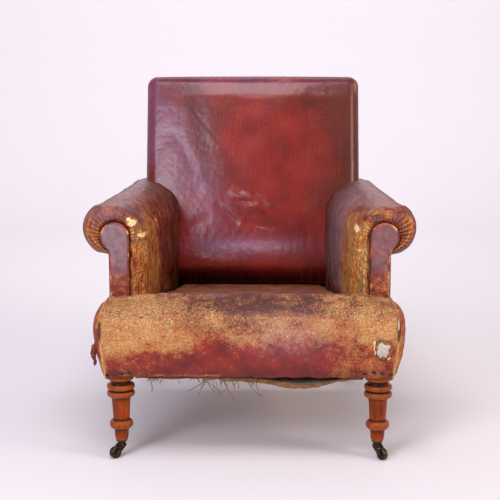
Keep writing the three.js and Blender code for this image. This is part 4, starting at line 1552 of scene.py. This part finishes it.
@dataclass
class SeatBorder:
    """The strip of leather at one end of the seat's front, with its piping."""

    side: Side
    nose: Nose = field(default_factory=Nose)
    top: float = 357.0

    def at(self, z: float, share: np.ndarray) -> np.ndarray:
        """Points at a height, from the seam round the corner to the back.

        Args:
            z: the height.
            share: 0 at the seam to 1 at the back.

        Returns:
            The points.
        """
        fine = self.nose.fine
        order = np.argsort(fine[:, 0])
        level = [z] + [float(np.interp(z, fine[order, 0], fine[order, k])) for k in (1, 2, 3)]
        _, wide, front, corner = level
        start = min(float(self.nose.seam(np.array(z))), wide - 0.3)
        first = math.asin(np.clip((start - (wide - corner)) / corner, -1, 1))
        path = [
            (wide - corner + corner * math.sin(a), front + corner - corner * math.cos(a), z)
            for a in np.linspace(first, math.pi / 2, 14)
        ]
        back = self.nose.back
        path += [(wide, y, z) for y in np.linspace(front + corner, back - 5, 10)[1:]]
        inner = min(309.0, wide - 5)
        path += [(wide - 1.4, back - 1.4, z), (wide - 5, back, z), (inner, back, z)]
        return spaced(path, len(share), rounds=1)

    def build(self, finishes: Finishes) -> list[bpy.types.Object]:
        """Makes the strip and its piping."""
        share = np.linspace(0, 1, 60)
        heights = np.linspace(190.0, self.top, 66)
        grid = np.stack([self.at(float(z), share) for z in heights])
        hide = Hide(grid)
        p = hide.points
        seed = 510 if self.side is Side.LEFT else 530
        y, z = p[..., 1], p[..., 2]
        inside = np.minimum(share[None, :] * 100, np.minimum(z - 190, self.top - z))
        inside = np.minimum(inside, 30 * (y < self.nose.back - 4))
        soft = smoothstep(0, 14, inside)
        hide.push(soft * (1.6 + 2.0 * cloud(p, 50, seed) - 1.5 * (1 - folds(p, 38, seed + 1))))
        rough = smoothstep(-0.2, 0.5, noise(p, 20, seed + 2))
        bared = 0.14 if self.side is Side.LEFT else 0.36
        hide.mark("rub", bared + 0.5 * smoothstep(16, 2, inside) * rough)
        hide.mark("rub", 0.55 * smoothstep(296, 340, z) * (0.8 + 0.3 * rough))
        hide.mark("film", 0.6 * smoothstep(320, 350, z))
        hide.mark("crack", 0.6)
        # Painted shade where the strip runs back into the gap behind the arm's front, and darker
        # towards the bottom.
        hide.mark("grime", 0.35 * smoothstep(235, 195, z) + 0.7 * smoothstep(-337, -333, y))
        tag, turn = self.side.tag, self.side.value
        if self.side is Side.LEFT:
            hide.mirror()
        strip = write_hides(f"seat_end_{tag}", [hide], finishes.seat)
        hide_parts(f"seat_border_{tag}")
        line = np.stack([self.at(float(z), share)[0] for z in np.linspace(193, self.top, 70)])
        line = np.vstack([line, [(316.0, yy, 358.5) for yy in np.linspace(-362, -334, 12)]])
        line[:, 1] -= 0.6
        line = line * (turn, 1.0, 1.0)
        wavy = line + 0.7 * np.stack([noise(line, 16, seed + k) for k in (5, 6, 7)], axis=1)
        cord, faces = tube(wavy, 2.3, 10)
        z = cord[:, 2]
        worn = 0.55 + 0.3 * smoothstep(285, 262, z)
        # Painted shade in the torn seam along the piping.
        gap = smoothstep(276, 288, z) * smoothstep(332, 318, z)
        piping = write_piece(
            f"seat_piping_{tag}", cord, faces, finishes.seat,
            {"rub": worn, "crack": np.full(len(z), 0.3), "grime": 0.9 * gap},
        )
        return [strip, piping]


@dataclass
class Patch:
    """A tuft of flock or hair that swells out of a hole in the leather."""

    name: str
    centre: tuple[float, float]
    size: tuple[float, float]
    swell: float
    seed: int
    nose: Nose = field(default_factory=Nose)

    def build(self, look: bpy.types.Material) -> bpy.types.Object:
        """Makes the tuft on the front of the seat."""
        rows, columns = 30, 60
        r = np.linspace(0, 1, rows)[:, None]
        a = np.linspace(0, 2 * math.pi, columns)[None, :]
        way = np.stack([np.cos(a) * 3 + 0 * r, np.sin(a) * 3 + 0 * r, 0 * a * r], axis=2)
        ragged = 1 + 0.55 * cloud(way, 1.3, self.seed, 3)
        x = self.centre[0] + self.size[0] * r * ragged * np.cos(a)
        z = self.centre[1] + self.size[1] * r * ragged * np.sin(a)
        fine = self.nose.fine
        order = np.argsort(fine[:, 0])
        wide, front, corner = (
            np.interp(z, fine[order, 0], fine[order, k]) for k in (1, 2, 3)
        )
        past = np.clip(np.abs(x) - (wide - corner), 0, corner)
        y = front + corner - np.sqrt(np.maximum(corner**2 - past**2, 0))
        place = on_plane(x, z)
        lumps = 1.4 * cloud(place, 7, self.seed + 3) + 0.8 * cloud(place, 2.6, self.seed + 4)
        y = y - self.swell * (1 - r**3) - lumps * (1 - r) + 4.0 * r**6
        points = np.stack([x, y, z], axis=2).reshape(-1, 3)
        return write_piece(self.name, points, grid_faces(rows, columns), look)


@dataclass
class TornStrip:
    """The end of the seam's leather that has torn off the left of the seat and curls out."""

    line: tuple = (
        (-333.0, -406.0, 280.0), (-338.0, -405.0, 268.0), (-342.5, -404.0, 253.0),
        (-341.5, -405.0, 240.0), (-337.5, -406.0, 231.0), (-340.5, -404.0, 221.0),
    )
    thick: float = 0.42

    def build(self, finishes: Finishes) -> bpy.types.Object:
        """Makes the strip: a cord that is flattened, ragged and twisted."""
        path = spaced(self.line, 60, rounds=3)
        share = np.linspace(0, 1, len(path))
        radius = 5.6 * np.sin(math.pi * np.clip(share, 0.06, 0.97)) ** 0.55
        radius = radius * (1 + 0.45 * noise(path, 5, 701))
        cord, faces = tube(path, radius, 16)
        axis = path[np.argmin(np.linalg.norm(cord[:, None] - path[None], axis=2), axis=1)]
        offset = (cord - axis) * (1.0, self.thick, 1.0)
        points = axis + offset + 0.7 * noise(cord, 4, 703)[:, None]
        piece = write_piece(
            "torn_strip", points, faces, finishes.seat,
            {"rub": 0.10 + 0.35 * smoothstep(0.2, 0.6, noise(cord, 6, 705)),
             "grime": np.full(len(points), 0.35), "crack": np.full(len(points), 0.6)},
        )
        return piece


# ---- Below the seat -----------------------------------------------------------------------


@dataclass
class Underside:
    """The hessian under the seat: one sheet nailed to the rails, sagging and frayed."""

    edge: float = 193.4
    sag: float = 22.0
    front: float = -392.0
    rear: float = 232.0
    half: tuple[float, float] = (302.0, 276.0)
    legs: tuple = ((288.0, -367.0, 33.0), (270.0, 250.0, 24.0))
    cut: tuple[float, float] = (0.60, 0.628)

    def height(self, x: np.ndarray, y: np.ndarray) -> np.ndarray:
        """How high the sheet hangs."""
        u = x / lerp(*self.half, (y - self.front) / (self.rear - self.front))
        v = (y - self.front) / (self.rear - self.front)
        belly = (1 - u**4) * np.sin(math.pi * np.clip(v, 0, 1)) ** 0.6
        place = on_plane(x, y)
        wave = 2.2 * cloud(place, 90, 601) - 1.4 * (1 - folds(place, 70, 603))
        # The front edge has pulled off its nails to one side of the middle.
        fallen = 15.0 * hump(x, 118, 70) * smoothstep(-320, -392, y)
        return self.edge - self.sag * belly - fallen + wave * smoothstep(0, 0.06, 1 - np.abs(u))

    def build(self, finishes: Finishes) -> bpy.types.Object:
        """Makes the sheet and the fibres that hang from it."""
        columns, rows = 171, 178
        u = np.linspace(-1, 1, columns)[None, :]
        v = np.linspace(0, 1, rows)[:, None]
        y = lerp(self.rear, self.front, v) + 0 * u
        wide = lerp(self.half[1], self.half[0], v)
        x = u * wide
        place = on_plane(x, y)
        ragged = 3.0 * noise(place, 9, 605) + 3.0 * noise(place, 30, 606)
        y = y + ragged * smoothstep(0.985, 1.0, v)
        z = self.height(x, y)
        hide = Hide(np.stack([x, y, z], axis=2), place)
        hide.mark("grime", 0.35 * smoothstep(0, 0.6, cloud(place, 80, 607)))

        def keep(points: np.ndarray, _: int) -> np.ndarray:
            """Leaves out the corners that are cut round the legs."""
            kept = np.ones(points.shape[:2], bool)
            for lx, ly, r in self.legs:
                gap_x = np.abs(np.abs(points[..., 0]) - lx)
                kept &= ~((gap_x < r) & (np.abs(points[..., 1] - ly) < r))
            return kept

        # The pulled-off edge hangs straight down in front, a torn finger's width.
        drop = np.linspace(0, 1, 9)[:, None]
        xe, ye, ze = hide.points[-1, :, 0], hide.points[-1, :, 1], hide.points[-1, :, 2]
        torn = 9.0 * hump(xe, 60, 130) + 3.0 + 3.0 * noise(hide.points[-1], 14, 611)
        flap = np.stack(
            [xe + 0 * drop, ye - 1.5 * np.sin(drop * 3) + 0 * xe, ze - drop * np.maximum(torn, 1)],
            axis=2,
        )
        hide = Hide(
            np.concatenate([hide.points, flap[1:]]),
            marks={"grime": np.pad(hide.marks["grime"], ((0, 8), (0, 0)))},
        )
        piece = write_hides("bottom_hessian", [hide], finishes.jute, keep=keep)
        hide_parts("bottom_lining")
        fibres = self.fibres(finishes)
        return piece

    def fibres(self, finishes: Finishes) -> bpy.types.Object:
        """Loose jute fibres hanging below the front edge."""
        rng = np.random.default_rng(11)
        hanging = [(-224, 33), (-190, 17), (-98, 32), (-74, 50), (-42, 52), (-5, 50), (-60, 44)]
        tufts = [(float(x), float(drop)) for x, drop in hanging]
        tufts += [(float(rng.uniform(-110, 20)), float(rng.uniform(14, 40))) for _ in range(18)]
        tufts += [(float(rng.uniform(-230, 230)), float(rng.uniform(6, 14))) for _ in range(30)]
        parts = []
        for x, drop in tufts:
            y = self.front + float(rng.uniform(0, 16))
            z = float(self.height(np.array(x), np.array(y))) + 2
            path, at = [], np.array([x, y, z])
            lean = rng.uniform(-0.5, 0.5, 2)
            bend = rng.uniform(-0.35, 0.35, 2)
            for _ in range(12):
                path.append(at.copy())
                lean = lean + bend * 0.3 + rng.uniform(-0.22, 0.22, 2)
                at = at + np.array([lean[0], lean[1] * 0.6, -1.0]) * drop / 11
            parts.append(tube(np.array(path), float(rng.uniform(0.5, 1.15)), 5))
        points, faces = gather(parts)
        piece = write_piece("jute_fibres", points, faces, finishes.jute)
        return piece


@dataclass
class Nails:
    """Domed upholstery nails."""

    radius: float = 4.4
    height: float = 2.6

    def dome(self, at: np.ndarray, out: np.ndarray) -> tuple[np.ndarray, list]:
        """One nail's head at a place, facing outwards."""
        out = out / np.linalg.norm(out)
        helper = np.array([0.0, 0.0, 1.0]) if abs(out[2]) < 0.9 else np.array([1.0, 0.0, 0.0])
        a = np.cross(helper, out)
        a /= np.linalg.norm(a)
        b = np.cross(out, a)
        sides, rings = 16, 5
        points = [at + out * self.height]
        faces = []
        for r in range(1, rings + 1):
            turn = r / rings * math.pi / 2
            for k in range(sides):
                w = 2 * math.pi * k / sides
                flat = self.radius * math.sin(turn) * (math.cos(w) * a + math.sin(w) * b)
                points.append(at + flat + out * self.height * math.cos(turn))
        for k in range(sides):
            faces.append((0, 1 + k, 1 + (k + 1) % sides))
            for r in range(rings - 1):
                i, j = 1 + r * sides + k, 1 + r * sides + (k + 1) % sides
                faces.append((i, i + sides, j + sides, j))
        return np.array(points), faces

    def build(self, name: str, places: Sequence, finishes: Finishes) -> bpy.types.Object:
        """Makes one piece of many nails."""
        points, faces = gather([self.dome(np.array(p, float), np.array(o, float))
                                for p, o in places])
        piece = write_piece(name, points, faces, finishes.bronze)
        return piece


@dataclass
class FrontLeg:
    """One turned front leg with the square block above it that the rails are joined to."""

    side: Side
    centre: tuple[float, float] = (288.0, -367.0)
    half: float = 30.0
    block: tuple[float, float] = (188.0, 268.0)
    profile: tuple = (
        (0, 40.3), (12, 40.3), (13.2, 40.6), (15.3, 46), (16.3, 66), (20, 67.5), (23.5, 70),
        (26.2, 74), (26.6, 78), (26.0, 82), (23.5, 86), (19.5, 88), (18.4, 89.5), (18.5, 92),
        (18.7, 94), (19.4, 108), (20.3, 124), (21.2, 136), (22.5, 140), (22.8, 141.4), (28, 142),
        (30.6, 144.5), (31.8, 149), (30.8, 153), (28, 155.4), (26.6, 157), (28, 158.6),
        (30.8, 161), (31.8, 165), (30.6, 169), (28, 171), (23, 171.8), (22.4, 173.5),
        (22.5, 177.5), (25, 179.5), (28.4, 181.5), (29.6, 184), (29.8, 189), (0, 189),
    )

    def build(self, finishes: Finishes) -> bpy.types.Object:
        """Turns the leg and sets the block on it."""
        sides = 72
        path = spaced(self.profile, 150, rounds=1)
        turn = np.linspace(0, 2 * math.pi, sides + 1)
        x = path[:, :1] * np.cos(turn)[None, :] + self.side.value * self.centre[0]
        y = path[:, :1] * np.sin(turn)[None, :] + self.centre[1]
        z = np.broadcast_to(path[:, 1:2], x.shape)
        grid = np.stack([x, y, z], axis=2)
        hollow = np.gradient(np.gradient(path[:, 0]))
        grime = np.clip(hollow * 3.6, 0, 0.92)[:, None] + 0 * x
        rub = np.clip(-hollow * 0.5, 0, 0.14)[:, None] + 0 * x
        turned = (grid.reshape(-1, 3), grid_faces(*x.shape))
        cx, cy, h, b = self.side.value * self.centre[0], self.centre[1], self.half, 1.5
        low, high = self.block
        ring = [(h, h - b), (h - b, h), (b - h, h), (-h, h - b), (-h, b - h), (b - h, -h),
                (h - b, -h), (h, b - h)]
        inner = [((h - b) * np.sign(px), (h - b) * np.sign(py)) for px, py in ring]
        block = [(cx + px, cy + py, low) for px, py in inner]
        block += [(cx + px, cy + py, low + b) for px, py in ring]
        block += [(cx + px, cy + py, high) for px, py in ring]
        faces = [
            (k * 8 + i, k * 8 + (i + 1) % 8, (k + 1) * 8 + (i + 1) % 8, (k + 1) * 8 + i)[::-1]
            for k in (0, 1) for i in range(8)
        ]
        faces += [tuple(range(8)), tuple(range(23, 15, -1))]
        points, faces = gather([turned, (np.array(block), faces)])
        extra = np.zeros(len(block))
        piece = write_piece(
            f"turned_leg_{self.side.tag}", points, faces, finishes.walnut,
            {"grime": np.concatenate([grime.ravel(), extra]),
             "rub": np.concatenate([rub.ravel(), extra])},
        )
        tidy_mesh(piece)
        mark_sharp(piece, 50)
        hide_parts(f"front_leg_{self.side.tag}")
        return piece


def mark_sharp(piece: bpy.types.Object, angle: float) -> None:
    """Shades a piece smoothly except where its faces meet at more than an angle."""
    made = bmesh.new()
    made.from_mesh(piece.data)
    bmesh.ops.recalc_face_normals(made, faces=made.faces)
    for edge in made.edges:
        if len(edge.link_faces) == 2:
            edge.smooth = edge.calc_face_angle(0.0) < math.radians(angle)
    made.to_mesh(piece.data)
    made.free()


@dataclass
class HiddenFrame:
    """The parts that come from the frame as they are: they only need their own finish."""

    finishes: Finishes

    def dress(self) -> None:
        """Gives each part of the frame the material it is made of."""
        words = (
            ("castor", self.finishes.bronze), ("back_leg", self.finishes.walnut),
            ("front_leg", self.finishes.walnut), ("webbing", self.finishes.jute),
            ("hessian", self.finishes.jute), ("lining", self.finishes.jute),
            ("stuffing", self.finishes.hair), ("spring", self.finishes.steel),
            ("cover", self.finishes.seat), ("border", self.finishes.back),
            ("panel", self.finishes.panel), ("facing", self.finishes.panel),
            ("", self.finishes.beech),
        )
        for name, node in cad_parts.items():
            look = next(m for word, m in words if word in name)
            node.data.materials.clear()
            node.data.materials.append(look)


# ---- The room -----------------------------------------------------------------------------


@dataclass
class Studio:
    """A pale floor and wall, soft daylight from the front left, and the camera."""

    lens: float = 79.2
    eye: tuple[float, float, float] = (0.034, -2.744, 0.863)
    pitch: float = 9.29
    yaw: float = 0.78
    wall: float = 4.6

    def build(self) -> None:
        """Sets up the room."""
        self.floor()
        self.lights()
        self.camera()

    def floor(self) -> None:
        """A round pale floor that curves up into a wall all the way round."""
        steps = np.linspace(0, math.pi / 2, 16)
        r, wide = 1.2, self.wall
        profile = [(0.0, 0.0)] + [
            (wide - r + r * math.sin(a), r - r * math.cos(a)) for a in steps
        ] + [(wide, 4.2)]
        sides = 72
        points = [
            (d * math.cos(t), d * math.sin(t), z)
            for d, z in profile for t in np.linspace(0, 2 * math.pi, sides + 1)
        ]
        mesh = bpy.data.meshes.new("floor")
        mesh.from_pydata(points, [], grid_faces(len(profile), sides + 1))
        mesh.polygons.foreach_set("use_smooth", [True] * len(mesh.polygons))
        mesh.materials.append(
            Nodes("matt pale paint").finish(
                base_color=linear("#ded9d9"), roughness=0.9, specular_ior_level=0.2
            )
        )
        floor = bpy.data.objects.new("floor", mesh)
        bpy.context.scene.collection.objects.link(floor)

    @staticmethod
    def lamp(name: str, at: tuple, to: tuple, size: float, power: float, colour: str) -> None:
        """One soft square lamp that faces a point."""
        data = bpy.data.lights.new(name, "AREA")
        data.shape, data.size, data.energy = "SQUARE", size, power
        data.color = linear(colour)[:3]
        lamp = bpy.data.objects.new(name, data)
        lamp.location = at
        lamp.rotation_euler = (Vector(to) - Vector(at)).to_track_quat("-Z", "Y").to_euler()
        bpy.context.scene.collection.objects.link(lamp)

    def lights(self) -> None:
        """A window to the left, a lamp to the right, a skylight, a lit wall and pale air."""
        self.lamp("window", (-1.45, -2.7, 1.65), (0.0, 0.1, 0.5), 1.1, 58.0, "#e6eaff")
        self.lamp("lamp", (2.5, -1.35, 1.5), (0.0, 0.1, 0.45), 1.0, 34.0, "#ffeedd")
        self.lamp("skylight", (-0.1, -1.35, 3.0), (0.0, 0.1, 0.4), 1.5, 54.0, "#f9f8ff")
        self.lamp("backdrop", (0.0, 1.9, 3.4), (0.0, 4.6, 1.2), 2.2, 98.0, "#f5f4ff")
        world = bpy.data.worlds.new("room")
        bpy.context.scene.world = world
        world.use_nodes = True
        air = world.node_tree.nodes["Background"]
        air.inputs["Color"].default_value = linear("#e8e6f2")
        air.inputs["Strength"].default_value = 0.45

    def camera(self) -> None:
        """The camera, level with the top of the back and a little to the right."""
        data = bpy.data.cameras.new("camera")
        data.lens, data.sensor_width = self.lens, 36.0
        camera = bpy.data.objects.new("camera", data)
        camera.location = self.eye
        camera.rotation_euler = (math.radians(90 - self.pitch), 0.0, math.radians(self.yaw))
        bpy.context.scene.collection.objects.link(camera)
        bpy.context.scene.camera = camera
        bpy.context.scene.view_settings.view_transform = "Standard"


# ---- The chair ----------------------------------------------------------------------------


def front_nails(nose: Nose) -> list:
    """Where the nails beside the front legs are, and which way they face."""
    places = []
    for x, z in ((-312, 200), (-297, 202), (-281, 204), (-262, 204),
                 (253, 206), (274, 209), (292, 207), (311, 204)):
        level = min(nose.fine, key=lambda row: abs(row[0] - z))
        y = float(nose.depth(np.array(float(x)), level))
        tilt = max(0.0, abs(x) - (level[1] - level[3])) / level[3]
        places.append(((x, y - 0.5, z), (math.copysign(tilt, x), -1.0, -0.25)))
    return places


def main() -> None:
    """Builds the chair and its room."""
    logging.basicConfig(level=logging.INFO, format="%(name)s: %(message)s")
    finishes = Finishes()
    HiddenFrame(finishes).dress()
    InsideBack().build(finishes)
    OutsideBack().build(finishes)
    for side in Side:
        Arm(side).build(finishes)
        Facing(side).build(finishes)
        OutsideArm(side).build(finishes)
        SeatBorder(side).build(finishes)
        FrontLeg(side).build(finishes)
    Seat().build(finishes)
    tufts = [
        Patch("hole_flock", (292.0, 263.0), (15.0, 19.0), 2.2, 51),
        Patch("seam_flock_upper", (325.0, 318.0), (3.2, 13.0), 2.0, 57),
        Patch("seam_flock_lower", (326.0, 284.0), (2.8, 9.0), 1.8, 63),
    ]
    for tuft in tufts:
        tuft.build(finishes.flock)
    TornStrip().build(finishes)
    Underside().build(finishes)
    Nails().build("front_nails", front_nails(Nose()), finishes)
    Studio().build()


if __name__ == "__main__":
    main()
